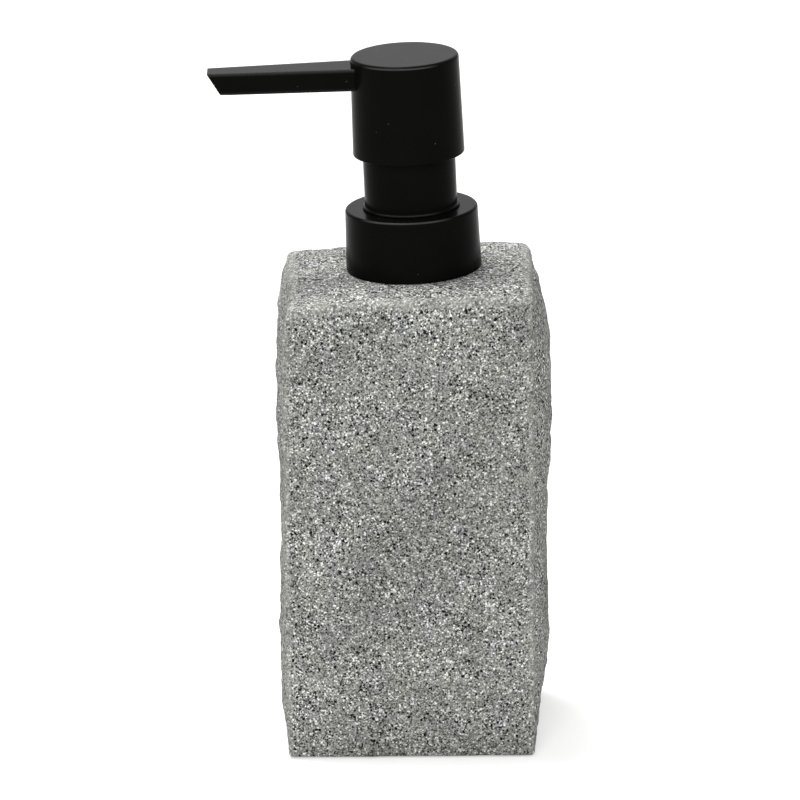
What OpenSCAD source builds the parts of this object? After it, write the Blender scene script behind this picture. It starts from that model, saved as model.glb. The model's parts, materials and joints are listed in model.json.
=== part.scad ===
// Soap pump dispenser: a cast stone bottle with a rock-faced finish and a push pump.
// The bottle stands on z = 0 with its front towards -Y and the spout towards -X.
// The pump is drawn upright on its own seat and then set square on the sloping cast top.

/* [Stone bottle] */
// Width between the upright arrises of the front
body_w = 64.8; // [60:0.2:90]
// Depth between the front and back arrises
body_d = 59; // [54:0.2:90]
// Height of the middle of the pump seat above the table
body_h = 128.5; // [112:0.5:180]
// Distance of the pump seat to the right of the block's middle
seat_x = 1.2; // [-3:0.1:3]
// Slope of the cast top, in degrees, rising to the right
top_tilt = 2.1; // [0:0.1:4]
// How far the middle of each top edge lies below the seat
crown = 1.2; // [0:0.1:3]
// How much further the top corners are worn down
corner_wear = 0.9; // [0:0.1:3]
// Radius of the upright arrises
arris_r = 1.6; // [0.8:0.1:4]
// Radius of the worn edge round the top
top_edge_r = 3.2; // [1:0.1:5]
// How far the rock face swells out on the front
swell_front = 2.6; // [0:0.1:6]
// How far the rock face swells out on the right side
swell_right = 4.5; // [0:0.1:6]
// How far the rock face swells out on the back
swell_back = 2.6; // [0:0.1:6]
// How far the rock face swells out on the left side
swell_left = 3; // [0:0.1:6]
// Thickness of the stone between an arris plane and the soap chamber
wall = 8.4; // [6:0.1:12]
// Thickness of the stone over the soap chamber
roof = 11; // [10.5:0.1:16]
// Corner radius of the soap chamber
chamber_r = 8; // [4:0.5:12]

/* [Base] */
// Thickness of the plate glued in under the soap chamber
plate_t = 3; // [2:0.1:5]
// Width of the shoulder that the plate is glued to
plate_ledge = 2.4; // [1.5:0.1:4]
// Thickness of the foam pad
pad_t = 2; // [1:0.1:3]
// How far the pad stands out below the stone
pad_proud = 0.5; // [0.2:0.1:0.9]
// Extra width of the pad past the plate, all round
pad_lip = 1.4; // [0.5:0.1:2.5]

/* [Neck insert] */
// Root diameter of the threaded neck
neck_d = 25.6; // [24.6:0.1:26.2]
// Bore of the neck
neck_bore = 20.5; // [19:0.1:21.5]
// Depth of the insert in the stone
insert_depth = 9.5; // [7:0.1:10]
// Diameter of the insert's anchoring rings
anchor_d = 27.8; // [27.2:0.1:29]
// Number of anchoring rings
anchor_count = 3; // [1:1:3]
// Diameter of the insert's flange, flush with the top of the stone
insert_flange_d = 30.4; // [29:0.1:32]
// Thickness of the insert's flange
insert_flange_t = 1.6; // [1:0.1:2.5]

/* [Screw collar] */
// Diameter at the foot of the collar
collar_foot_d = 35.8; // [35.4:0.1:38]
// Diameter at the top of the collar
collar_top_d = 35; // [34.4:0.1:35.4]
// Height of the collar
collar_h = 16.8; // [15:0.1:20]
// Radius of the collar's top edge
collar_edge_r = 0.9; // [0.3:0.1:1.2]
// Side wall of the collar shell
collar_wall = 1.5; // [1:0.05:1.6]
// Top wall of the collar shell
collar_plate = 1.6; // [1.2:0.1:2.4]
// Wall of the threaded ring inside the collar
ring_wall = 1.5; // [1:0.05:1.6]
// Top wall of the threaded ring
ring_plate = 1; // [0.8:0.1:1.5]
// Inner diameter of the threaded ring
ring_bore = 27.9; // [27.6:0.1:28.2]
// Number of drive ribs between the ring and the shell
rib_count = 24; // [12:2:36]
// Width of a drive rib
rib_w = 1; // [0.6:0.1:1.4]

/* [Sleeve] */
// Diameter of the fixed sleeve under the head
sleeve_d = 24.4; // [23.6:0.1:24.6]
// Wall of the sleeve
sleeve_wall = 1.4; // [1.1:0.1:1.5]
// Length of sleeve that shows with the head up
sleeve_show = 14.8; // [13.8:0.1:18]
// Length of sleeve hidden in the head
sleeve_lap = 4.9; // [3:0.1:6]
// How far the bead at the sleeve's foot stands out
bead_out = 0.6; // [0.3:0.1:0.9]
// Height of the bead
bead_h = 0.6; // [0.4:0.1:0.9]

/* [Head] */
// Diameter of the head at its top
head_top_d = 28.6; // [28.4:0.1:29.2]
// Diameter of the head at its rim
head_rim_d = 29.4; // [29.2:0.1:30.4]
// Height of the head
head_h = 26.7; // [25:0.1:30]
// Bore of the head, which slides over the sleeve
head_bore = 25.5; // [25.3:0.1:25.8]
// Thickness of the head's roof
head_roof = 1.6; // [1.2:0.1:1.7]
// Radius of the head's top edge
head_edge_r = 0.9; // [0.4:0.1:1.4]
// Diameter of the hub that takes the stem
hub_d = 12; // [10.5:0.1:14]
// Length of the hub below the ribs
hub_drop = 9; // [7:0.1:9.5]
// Thickness of a rib in the head
web_t = 1.2; // [0.8:0.1:2]

/* [Nozzle] */
// Reach of the nozzle's upper edge from the pump's axis
spout_reach = 52.5; // [38:0.5:80]
// Height of the nozzle bar
spout_h = 5.9; // [5.4:0.1:6.4]
// Width of the nozzle bar at the head
spout_w_root = 10.8; // [9:0.1:12]
// Width of the nozzle bar at its tip
spout_w_tip = 7.5; // [6.5:0.1:8.5]
// Depth of the nozzle's top below the head's top
spout_drop = 2.2; // [1.8:0.1:2.5]
// Slant of the cut end from upright, in degrees
spout_mitre = 31; // [0:1:40]
// Radius of the bar's long edges
spout_edge_r = 0.6; // [0.3:0.1:0.9]
// Bore of the nozzle
spout_bore = 3; // [2:0.1:3.2]
// Outer diameter of the spigot that the nozzle is pushed on to
spigot_d = 3.9; // [3.8:0.1:4]

/* [Pump engine] */
// Travel of the head
stroke = 12; // [8:0.5:12.5]
// Free play of the piston on the stem, which opens the pump's outlet ports
lost_motion = 1.2; // [0.6:0.1:1.5]
// Thickness of the sealing washer
gasket_t = 1; // [0.8:0.1:1.6]
// Thickness of the pump housing's flange
flange_t = 1.5; // [1.2:0.1:2]
// Diameter of the pump housing's flange
flange_d = 26.4; // [25.6:0.1:26.8]
// Bore of the barrel
barrel_bore = 13; // [12:0.1:13.6]
// Wall of the barrel
barrel_wall = 1.1; // [0.9:0.1:1.4]
// Outer diameter of the stem
stem_d = 7.6; // [7.2:0.1:8]
// Bore of the stem
stem_bore = 4; // [3.2:0.1:4.2]
// Diameter of the stem where it carries the piston
stem_tip_d = 6; // [5.4:0.1:6.4]
// Length of stem held in the head's hub
stem_grip = 10; // [8:0.1:11]
// Height of the guide above the housing's flange
guide_h = 5; // [4:0.1:6]
// Wall of the guide round the stem
guide_wall = 1.4; // [1:0.1:2]
// Thickness of the guide's rim on the housing's flange
guide_rim_t = 1.5; // [1:0.1:2.5]
// Depth of the guide's plug in the barrel
plug_h = 5; // [4:0.1:7]
// Length of the piston
piston_len = 8; // [6:0.1:10]
// Length of each sealing lip of the piston
lip_len = 2; // [1.2:0.1:2.6]
// Diameter of the valve disc that closes the piston from below
disc_d = 10; // [9:0.1:10.6]
// Thickness of the valve disc
disc_t = 2; // [1.5:0.1:3]
// Length of the rod held in the stem
shank_len = 11; // [8:0.5:16]
// Length of the rod's nose that centres the spring
nose_len = 3; // [2:0.1:4]
// Wire of the return spring
wire_d = 0.9; // [0.7:0.05:1]
// Turns of the return spring
spring_turns = 7; // [5:0.5:8]
// Mean diameter of the return spring
spring_d = 9; // [8.6:0.1:9.6]
// Spare length of the spring when the head is right down
spring_spare = 3; // [2:0.5:6]
// Thickness of the cage over the inlet ball
cage_t = 1.5; // [1:0.1:2.5]
// Diameter of the inlet ball
ball_d = 4; // [3.6:0.1:4.6]
// Lift of the inlet ball
ball_lift = 1.2; // [0.8:0.1:2]
// Outer diameter of the dip tube
tube_d = 6; // [5.5:0.1:6.4]
// Wall of the dip tube
tube_wall = 0.8; // [0.6:0.1:1]
// Length of dip tube held in the housing
tube_grip = 10; // [7:0.1:13]
// Height of the dip tube's end above the base plate
tube_foot = 4; // [2:0.5:10]

/* [Hidden] */
$fn = 96;

// Clearances
glue_gap = 0.15;      // round pieces that are glued or pressed in
face_gap = 0.1;       // between flat faces that turn or lift apart
run_gap = 0.05;       // round running fits
free_gap = 0.4;       // round pieces that pass each other without touching
cut = 1;              // how far a cutting solid runs past the face that it cuts

// Heights in the bottle, above the table
stone_foot = pad_proud;
plate_under = pad_t;
chamber_floor = plate_under + plate_t;
chamber_top = body_h - roof;
chamber_w = body_w - 2 * wall;
chamber_d = body_d - 2 * wall;

// Heights in the pump, above its seat on the stone
ring_under = collar_h - collar_plate - ring_plate;
flange_top = ring_under - face_gap;
gasket_top = flange_top - flange_t;
neck_top = gasket_top - gasket_t;
sleeve_top = collar_h + sleeve_show + sleeve_lap;
head_rim = collar_h + sleeve_show;
head_top = head_rim + head_h;
roof_under = head_top - head_roof;
spout_mid = head_top - spout_drop - spout_h / 2;
web_under = sleeve_top + stroke + free_gap;
hub_under = web_under - hub_drop;
stem_top = hub_under + stem_grip;
plug_under = flange_top - plug_h;
stem_shoulder = plug_under - face_gap;
piston_top = stem_shoulder - lost_motion;
disc_top = piston_top - piston_len;
disc_under = disc_top - disc_t;
port_h = 1.4;
spring_solid = (spring_turns + 1) * wire_d;
spring_len = stroke + spring_solid + spring_spare;
cage_top = disc_under - spring_len;
barrel_floor = cage_top - cage_t;
ball_z = barrel_floor - ball_lift - face_gap - ball_d / 2;

// Radii in the pump
hole_r = sleeve_d / 2 - 0.7;
spigot_foot_r = hole_r - 0.3;
barrel_r = barrel_bore / 2;
ball_r = ball_d / 2;
chamber_ball_r = ball_r + 0.6;
inlet_r = ball_r * 0.65;
seat_apex = ball_z - (ball_r + run_gap) * sqrt(2);
seat_top = seat_apex + chamber_ball_r;
seat_under = seat_apex + inlet_r;
tube_stop = seat_under - 2.5;
tube_r = tube_d / 2;
tube_end = -(body_h - chamber_floor - tube_foot) / cos(top_tilt);

// ---------------------------------------------------------------- helpers

// Sets a pump piece on the bottle's sloping seat.
module on_seat() {
    translate([seat_x, 0, body_h])
        rotate([0, -top_tilt, 0])
            children();
}

// A tube from z0 up to z1.
module tube(z0, z1, outer_r, inner_r) {
    translate([0, 0, z0])
        difference() {
            cylinder(h = z1 - z0, r = outer_r);
            translate([0, 0, -cut])
                cylinder(h = z1 - z0 + 2 * cut, r = inner_r);
        }
}

// A rod from z0 up to z1.
module rod(z0, z1, r) {
    translate([0, 0, z0])
        cylinder(h = z1 - z0, r = r);
}

// A slab with rounded corners from z0 up to z1.
module slab(w, d, r, z0, z1) {
    translate([0, 0, z0])
        linear_extrude(z1 - z0)
            union() {
                square([w - 2 * r, d], center = true);
                square([w, d - 2 * r], center = true);
                for (x = [-1, 1], y = [-1, 1])
                    translate([x * (w / 2 - r), y * (d / 2 - r)])
                        circle(r);
            }
}

// Points of an arc round c, from angle a0 to a1.
function arc(c, r, a0, a1, steps = 6) =
    [for (i = [0:steps]) c + r * [cos(a0 + (a1 - a0) * i / steps), sin(a0 + (a1 - a0) * i / steps)]];

// ---------------------------------------------------------------- stone bottle

// The rock face is a grid of points round the block, bent out by smooth waves.
face_steps = 12;
corner_steps = 2;
ring_steps = face_steps + corner_steps;
ring_points = 4 * ring_steps;
side_rings = 28;
edge_rings = 3;
crown_rings = 3;
seat_r = collar_foot_d / 2 + 0.8;

swells = [swell_front, swell_right, swell_back, swell_left];
face_normals = [[0, -1], [1, 0], [0, 1], [-1, 0]];
face_tangents = [[1, 0], [0, 1], [-1, 0], [0, -1]];
face_half = [body_w / 2, body_d / 2, body_w / 2, body_d / 2];
face_dist = [body_d / 2, body_w / 2, body_d / 2, body_w / 2];

// How steeply each face swells out from its arrises, from its foot and from its top edge.
side_steep = 4.5;
foot_steep = [6, 2.6, 6, 50];
head_steep = [7, 11, 7, 36];

// Share of a face's swell that is left at its foot and at its top edge.
foot_keep = [0, 0, 0, 0.4];
head_keep = [0, 0.2, 0, 0.5];

// Where each face's long wave crests, how many crests it has, and how far it leans across.
wave_crest = [0.72, 0.74, 0.3, 0.82];
wave_count = [1.6, 1.7, 1.8, 1.8];
wave_lean = [0.5, 0.12, -0.35, 0.15];

// The shallow hollow across each face: height of its middle, climb from side to side, depth, half-width.
hollow_at = [0.51, 0.4, 0.55, 0.325];
hollow_climb = [0.73, 0.1, -0.3, -0.1];
hollow_depth = [0.8, 0.5, 0.7, 2];
hollow_half = [0.06, 0.05, 0.07, 0.052];

// A flat-topped hump over t = 0 to 1, with its own steepness and remainder on each shoulder.
function hump(t, low, high, low_keep = 0, high_keep = 0) =
    1 - (1 - (t < 0.5 ? low_keep : high_keep)) * pow(abs(2 * t - 1), t < 0.5 ? low : high);

// Packs steps towards both ends of 0 to 1.
function crowd(t) = 0.5 * t + 0.5 * (0.5 - 0.5 * cos(180 * t));

// Depth of a face's hollow at u across and v up.
function hollow(face, u, v) =
    let (off = (v - hollow_at[face] - hollow_climb[face] * (u - 0.5)) / hollow_half[face])
    hollow_depth[face] * exp(-off * off);

// Swell of a face at u across and v up.
function rock(face, u, v) =
    let (long = cos(360 * (wave_count[face] * (v - wave_crest[face]) + wave_lean[face] * (u - 0.5))))
    let (short = sin(360 * (3.4 * v - 1.3 * u + 0.27 * face)))
    let (cross = sin(360 * (1.7 * u + 0.9 * v + 0.4 * face)))
    let (upright = hump(v, foot_steep[face], head_steep[face], foot_keep[face], head_keep[face]))
    hump(u, side_steep, side_steep)
        * (swells[face] * upright * (1 + 0.18 * long + 0.05 * short + 0.06 * cross) - hollow(face, u, v));

// Height of the seat's plane over a point, and how far the worn edge lies below it.
function seat_z(x) = body_h + (x - seat_x) * tan(top_tilt);
function sag(u) = crown + corner_wear * pow(abs(2 * u - 1), 4);

// A point of the block: k round the ring, v up the side, inset and dropped by the rounded top edge.
function block_point(k, v, inset, drop) =
    let (face = floor(k / ring_steps), i = k % ring_steps)
    let (n = face_normals[face], t = face_tangents[face])
    let (along = face_half[face] - arris_r - inset, out = face_dist[face] - arris_r - inset)
    let (u = crowd(min(i, face_steps) / face_steps))
    let (a = i <= face_steps ? 0 : 90 * (i - face_steps) / corner_steps)
    let (flat = n * (out + arris_r * cos(a)) + t * ((2 * u - 1) * along + arris_r * sin(a)))
    let (p = flat + n * (i <= face_steps ? rock(face, u, v) : 0))
    [p[0], p[1], stone_foot + v * (seat_z(flat[0]) - sag(u) - drop - stone_foot)];

// A point of the crowned top: from the rounded edge at s = 0 to the flat round seat at s = 1.
function top_point(k, s) =
    let (edge = block_point(k, 1, top_edge_r, 0))
    let (out = [edge[0] - seat_x, edge[1]])
    let (rim = [seat_x, 0] + out * seat_r / norm(out))
    let (p = [edge[0], edge[1]] * (1 - s) + rim * s)
    [p[0], p[1], seat_z(p[0]) - (seat_z(edge[0]) - edge[2]) * pow(1 - s, 1.6)];

module stone_block() {
    sides = [for (j = [0:side_rings], k = [0:ring_points - 1])
        block_point(k, crowd(j / side_rings), j == 0 ? 0.5 : 0, top_edge_r)];
    edges = [for (j = [1:edge_rings], k = [0:ring_points - 1])
        let (a = 90 * j / edge_rings)
        block_point(k, 1, top_edge_r * (1 - cos(a)), top_edge_r * (1 - sin(a)))];
    crowned = [for (j = [1:crown_rings], k = [0:ring_points - 1]) top_point(k, j / crown_rings)];
    rings = side_rings + edge_rings + crown_rings;
    top_mid = (rings + 1) * ring_points;
    points = concat(sides, edges, crowned, [[seat_x, 0, body_h], [0, 0, stone_foot]]);
    walls = [for (j = [0:rings - 1], k = [0:ring_points - 1])
        let (low = j * ring_points, next = (k + 1) % ring_points)
        each [[low + k, low + ring_points + k, low + ring_points + next],
              [low + k, low + ring_points + next, low + next]]];
    caps = [for (k = [0:ring_points - 1])
        let (next = (k + 1) % ring_points, low = rings * ring_points)
        each [[top_mid, low + next, low + k], [top_mid + 1, k, next]]];
    polyhedron(points = points, faces = concat(walls, caps), convexity = 4);
}

// The cast bottle: chamber open below, stepped recess for plate and pad, stepped hole for the neck.
module bottle_body() {
    color("#8f908c")
        difference() {
            stone_block();
            slab(chamber_w, chamber_d, chamber_r, -cut, chamber_top);
            slab(chamber_w + 2 * plate_ledge, chamber_d + 2 * plate_ledge, chamber_r + plate_ledge,
                 -cut, chamber_floor);
            slab(chamber_w + 2 * (plate_ledge + pad_lip), chamber_d + 2 * (plate_ledge + pad_lip),
                 chamber_r + plate_ledge + pad_lip, -cut, plate_under);
            on_seat() {
                rod(-roof - 2 * cut, cut, anchor_d / 2 + glue_gap);
                rod(-insert_flange_t - face_gap, cut, insert_flange_d / 2 + glue_gap);
            }
        }
}

// The plate glued to the shoulder under the chamber.
module base_plate() {
    color("#77776f")
        slab(chamber_w + 2 * (plate_ledge - glue_gap), chamber_d + 2 * (plate_ledge - glue_gap),
             chamber_r + plate_ledge - glue_gap, plate_under, chamber_floor);
}

// The foam pad that the bottle stands on.
module base_pad() {
    pad_out = plate_ledge + pad_lip - glue_gap;
    color("#2b2b2b")
        slab(chamber_w + 2 * pad_out, chamber_d + 2 * pad_out, chamber_r + pad_out, 0, plate_under);
}

// The plastic neck: flange flush with the stone, anchoring rings below, plain neck above.
module neck_insert() {
    pitch = (insert_depth - insert_flange_t) / (anchor_count + 0.5);
    color("#d8d8d2")
        on_seat()
            difference() {
                union() {
                    rod(-insert_depth, neck_top, neck_d / 2);
                    rod(-insert_flange_t, 0, insert_flange_d / 2);
                    for (i = [1:anchor_count])
                        rod(-insert_flange_t - i * pitch, -insert_flange_t - (i - 0.5) * pitch,
                            anchor_d / 2);
                }
                rod(-insert_depth - cut, neck_top + cut, neck_bore / 2);
            }
}

// ---------------------------------------------------------------- closure

// The washer between the neck's rim and the housing's flange.
module gasket() {
    color("#e6e4da")
        on_seat()
            tube(neck_top, gasket_top, neck_d / 2, neck_bore / 2 + 0.3);
}

// The collar that shows: a tapered shell with a rounded top edge.
module collar_shell() {
    foot_r = collar_foot_d / 2;
    edge_r = collar_top_d / 2;
    inner_r = edge_r - collar_wall;
    color("#161614")
        on_seat()
            rotate_extrude()
                polygon(concat(
                    [[inner_r, face_gap], [foot_r - 0.3, face_gap], [foot_r, face_gap + 0.3]],
                    arc([edge_r - collar_edge_r, collar_h - collar_edge_r], collar_edge_r, 0, 90),
                    [[hole_r + 0.3, collar_h], [hole_r, collar_h - 0.3],
                     [hole_r, collar_h - collar_plate], [inner_r, collar_h - collar_plate]]));
}

// The threaded ring pressed into the collar, held by drive ribs.
module threaded_ring() {
    inner_r = ring_bore / 2;
    outer_r = inner_r + ring_wall;
    seat_r = collar_top_d / 2 - collar_wall - run_gap;
    foot = 0.6;
    ring_top = collar_h - collar_plate;
    color("#d8d8d2")
        on_seat() {
            difference() {
                rod(foot, ring_top, outer_r);
                rod(foot - cut, ring_under, inner_r);
                rod(foot, ring_top + cut, hole_r);
            }
            difference() {
                for (i = [0:rib_count - 1])
                    rotate(360 / rib_count * i)
                        translate([outer_r - 0.4, -rib_w / 2, foot + 1])
                            cube([seat_r - outer_r + 0.3, rib_w, ring_top - foot - 1]);
                rod(foot, ring_top + cut, inner_r + 0.3);
            }
        }
}

// The fixed sleeve that the head slides over, with a thin bead on the collar.
module neck_sleeve() {
    outer_r = sleeve_d / 2;
    inner_r = outer_r - sleeve_wall;
    bead_under = collar_h + face_gap;
    bead_top = bead_under + bead_h;
    bead_r = outer_r + bead_out;
    round_r = 0.25;
    color("#161614")
        on_seat()
            rotate_extrude()
                polygon(concat(
                    [[inner_r, flange_top], [spigot_foot_r, flange_top], [spigot_foot_r, bead_under],
                     [bead_r, bead_under]],
                    arc([bead_r - round_r, bead_top - round_r], round_r, 0, 90),
                    [[outer_r, bead_top]],
                    arc([outer_r - 0.4, sleeve_top - 0.4], 0.4, 0, 90),
                    [[inner_r, sleeve_top]]));
}

// ---------------------------------------------------------------- pump engine

// The housing: flange, barrel, ball seat and dip tube socket in one moulding.
module pump_housing() {
    outer_r = barrel_r + barrel_wall;
    seat_wall_r = chamber_ball_r + barrel_wall;
    socket_r = tube_r + run_gap;
    socket_end = tube_stop - tube_grip;
    color("#e9e7df")
        on_seat()
            rotate_extrude()
                polygon([
                    [barrel_r, flange_top], [flange_d / 2, flange_top], [flange_d / 2, gasket_top],
                    [outer_r, gasket_top], [outer_r, barrel_floor], [seat_wall_r + 1, barrel_floor - 1.5],
                    [seat_wall_r + 0.5, tube_stop + 1], [socket_r + barrel_wall, tube_stop - 1],
                    [socket_r + barrel_wall, socket_end], [socket_r, socket_end],
                    [socket_r, tube_stop], [inlet_r, tube_stop], [inlet_r, seat_under],
                    [chamber_ball_r, seat_top], [chamber_ball_r, barrel_floor],
                    [barrel_r, barrel_floor]]);
}

// The cap that closes the barrel and guides the stem.
module guide_cap() {
    guide_r = stem_d / 2 + run_gap;
    color("#e9e7df")
        on_seat()
            difference() {
                union() {
                    rod(flange_top, flange_top + guide_rim_t, sleeve_d / 2 - sleeve_wall - glue_gap);
                    rod(flange_top, flange_top + guide_h, guide_r + guide_wall);
                    rod(plug_under, flange_top, barrel_r - run_gap);
                }
                rod(plug_under - cut, flange_top + guide_h + cut, guide_r);
            }
}

// The cage that keeps the inlet ball in its seat and carries the spring.
module ball_cage() {
    slot_w = 1.1;
    slot_r = chamber_ball_r - 0.2;
    color("#e9e7df")
        on_seat()
            difference() {
                rod(barrel_floor, cage_top, barrel_r - run_gap);
                rod(barrel_floor - cut, cage_top + cut, ball_r * 0.5);
                for (a = [0, 90])
                    rotate(a)
                        translate([-slot_r, -slot_w / 2, barrel_floor - cut])
                            cube([2 * slot_r, slot_w, cage_t + 2 * cut]);
            }
}

// The ball of the inlet valve.
module inlet_ball() {
    color("#c9ccd0")
        on_seat()
            translate([0, 0, ball_z])
                sphere(ball_r);
}

// The dip tube, cut on the slant at its foot, which is longest on the right.
module dip_tube() {
    color("#efeee8")
        on_seat()
            difference() {
                tube(tube_end, tube_stop, tube_r, tube_r - tube_wall);
                translate([tube_r, 0, tube_end])
                    rotate([0, 45, 0])
                        translate([-2 * tube_d, -tube_d, -2 * tube_d])
                            cube([4 * tube_d, 2 * tube_d, 2 * tube_d]);
            }
}

// The spring's wire runs along a helix whose end turns lie close together.
spring_sides = 6;
steps_per_turn = 14;
spring_sections = spring_turns * steps_per_turn;
spring_lift = spring_len - wire_d;

// Share of the spring's height reached after t of its length: slow on the first and last turn.
function spring_rise(t) =
    let (rest = wire_d / spring_lift, edge = 1 / spring_turns)
    t < edge ? rest * t / edge
    : t > 1 - edge ? 1 - rest * (1 - t) / edge
    : rest + (1 - 2 * rest) * (t - edge) / (1 - 2 * edge);

function spring_point(i, j) =
    let (t = i / spring_sections, turn = 360 * spring_turns * t, a = 360 * j / spring_sides)
    let (r = spring_d / 2 + wire_d / 2 * cos(a))
    [r * cos(turn), r * sin(turn),
     cage_top + wire_d / 2 + spring_lift * spring_rise(t) + wire_d / 2 * sin(a)];

module return_spring() {
    points = [for (i = [0:spring_sections], j = [0:spring_sides - 1]) spring_point(i, j)];
    sides = [for (i = [0:spring_sections - 1], j = [0:spring_sides - 1])
        let (low = i * spring_sides, next = (j + 1) % spring_sides)
        each [[low + j, low + next, low + spring_sides + next],
              [low + j, low + spring_sides + next, low + spring_sides + j]]];
    last = spring_sections * spring_sides;
    ends = [for (j = [1:spring_sides - 2])
        each [[0, j + 1, j], [last, last + j, last + j + 1]]];
    color("#b9bcc0")
        on_seat()
            polyhedron(points = points, faces = concat(sides, ends), convexity = 10);
}

// The stem: a tube through the guide, stepped down where it carries the piston.
module stem() {
    color("#e9e7df")
        on_seat()
            difference() {
                union() {
                    rod(stem_shoulder, stem_top, stem_d / 2);
                    rod(disc_top + port_h, stem_shoulder, stem_tip_d / 2);
                }
                rod(disc_top, stem_top + cut, stem_bore / 2);
            }
}

// The fluted plug in the stem's foot, with the disc that closes the piston and a nose for the spring.
module piston_rod() {
    shank_r = stem_bore / 2 - run_gap;
    shank_top = disc_top + shank_len;
    flute_w = 1;
    color("#e9e7df")
        on_seat() {
            rod(disc_under, disc_top, disc_d / 2);
            rod(disc_under - nose_len, disc_under, (spring_d - wire_d) / 2 - free_gap);
            difference() {
                rod(disc_top, shank_top, shank_r);
                for (a = [0:90:270])
                    rotate(a)
                        translate([shank_r * 0.45, -flute_w / 2, disc_top + 0.5])
                            cube([shank_r, flute_w, shank_top - disc_top]);
            }
        }
}

// The piston: two flared lips on a waist, free to slide a little on the stem.
module piston() {
    lip_r = barrel_r - run_gap;
    waist_r = lip_r - 0.9;
    bore_r = stem_tip_d / 2 + run_gap;
    groove_r = (lip_r + bore_r) / 2;
    color("#f2f1ec")
        on_seat()
            rotate_extrude()
                polygon([
                    [bore_r, disc_top], [groove_r - 0.5, disc_top], [groove_r, disc_top + lip_len * 0.6],
                    [lip_r - 0.5, disc_top], [lip_r, disc_top], [lip_r, disc_top + lip_len * 0.5],
                    [waist_r, disc_top + lip_len], [waist_r, piston_top - lip_len],
                    [lip_r, piston_top - lip_len * 0.5], [lip_r, piston_top],
                    [lip_r - 0.5, piston_top], [groove_r, piston_top - lip_len * 0.6],
                    [groove_r - 0.5, piston_top], [bore_r, piston_top]]);
}

// ---------------------------------------------------------------- head

// The head's shell: a tapered cup, open below, with a window for the nozzle.
module head_shell() {
    top_r = head_top_d / 2;
    rim_r = head_rim_d / 2;
    bore_r = head_bore / 2;
    window_w = bar_w(bore_r) + 2 * face_gap;
    window_h = spout_h + 2 * face_gap;
    color("#161614")
        on_seat()
            difference() {
                rotate_extrude()
                    polygon(concat(
                        [[0, roof_under], [bore_r, roof_under], [bore_r, head_rim],
                         [rim_r - 0.3, head_rim], [rim_r, head_rim + 0.3]],
                        arc([top_r - head_edge_r, head_top - head_edge_r], head_edge_r, 0, 90),
                        [[0, head_top]]));
                translate([-rim_r - cut, -window_w / 2, spout_mid - window_h / 2])
                    cube([rim_r - bore_r + 2 * cut + 2, window_w, window_h]);
            }
}

// The core under the head's roof: a ribbed hub that takes the stem and turns the flow to the nozzle.
module head_core() {
    bore_r = head_bore / 2 - glue_gap;
    hub_r = hub_d / 2;
    root_x = hub_r + 2;
    notch_w = bar_w(root_x) + 2 * free_gap;
    plate = 1.2;
    color("#d8d8d2")
        on_seat()
            difference() {
                union() {
                    rod(hub_under, roof_under, hub_r);
                    difference() {
                        rod(roof_under - plate, roof_under, bore_r);
                        translate([-bore_r - cut, -notch_w / 2, roof_under - plate - cut])
                            cube([bore_r + cut - root_x, notch_w, plate + 2 * cut]);
                    }
                    for (a = [-120:60:120])
                        rotate(a)
                            translate([0, -web_t / 2, web_under])
                                cube([bore_r - 0.1, web_t, roof_under - web_under]);
                    translate([-root_x - 4, 0, spout_mid])
                        rotate([0, 90, 0])
                            cylinder(h = root_x + 4, d = spigot_d);
                }
                rod(hub_under - cut, stem_top + face_gap, stem_d / 2 + run_gap);
                rod(stem_top, spout_mid, stem_bore / 2);
                translate([-root_x - 4 - cut, 0, spout_mid])
                    rotate([0, 90, 0])
                        cylinder(h = root_x + 4 + cut, d = spout_bore - 0.2);
            }
}

// Width of the nozzle at x from the axis, on the taper's straight line.
function bar_w(x) =
    let (start = head_top_d / 2)
    spout_w_root + (spout_w_tip - spout_w_root) * (x - start) / (spout_reach - start);

// The nozzle bar: tapered in plan, level, cut on the slant, bored through.
module nozzle() {
    root_x = hub_d / 2 + 2 + face_gap;
    mouth_x = spout_reach + 2 * cut;
    r = spout_edge_r;
    socket_h = 4 + free_gap;
    color("#161614")
        on_seat()
            translate([0, 0, spout_mid])
                difference() {
                    hull()
                        for (x = [root_x, mouth_x], y = [-1, 1], z = [-1, 1])
                            translate([-x, y * (bar_w(x) / 2 - r), z * (spout_h / 2 - r)])
                                rotate([0, 90, 0])
                                    cylinder(h = 0.01, r = r, center = true, $fn = 24);
                    translate([-spout_reach, 0, spout_h / 2])
                        rotate([0, -spout_mitre, 0])
                            translate([-spout_reach, -spout_w_root, -2 * spout_h])
                                cube([spout_reach, 2 * spout_w_root, 4 * spout_h]);
                    translate([-mouth_x - cut, 0, 0])
                        rotate([0, 90, 0])
                            cylinder(h = mouth_x - root_x + 2 * cut, d = spout_bore);
                    translate([-root_x - socket_h, 0, 0])
                        rotate([0, 90, 0])
                            cylinder(h = socket_h + cut, d = spigot_d + 2 * run_gap);
                }
}

bottle_body();
base_plate();
base_pad();
neck_insert();
gasket();
pump_housing();
guide_cap();
neck_sleeve();
ball_cage();
dip_tube();
return_spring();
collar_shell();
threaded_ring();
inlet_ball();
stem();
piston_rod();
piston();
head_shell();
head_core();
nozzle();
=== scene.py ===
import json
import math

import bpy
import numpy as np
from mathutils import Matrix, Vector


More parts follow.
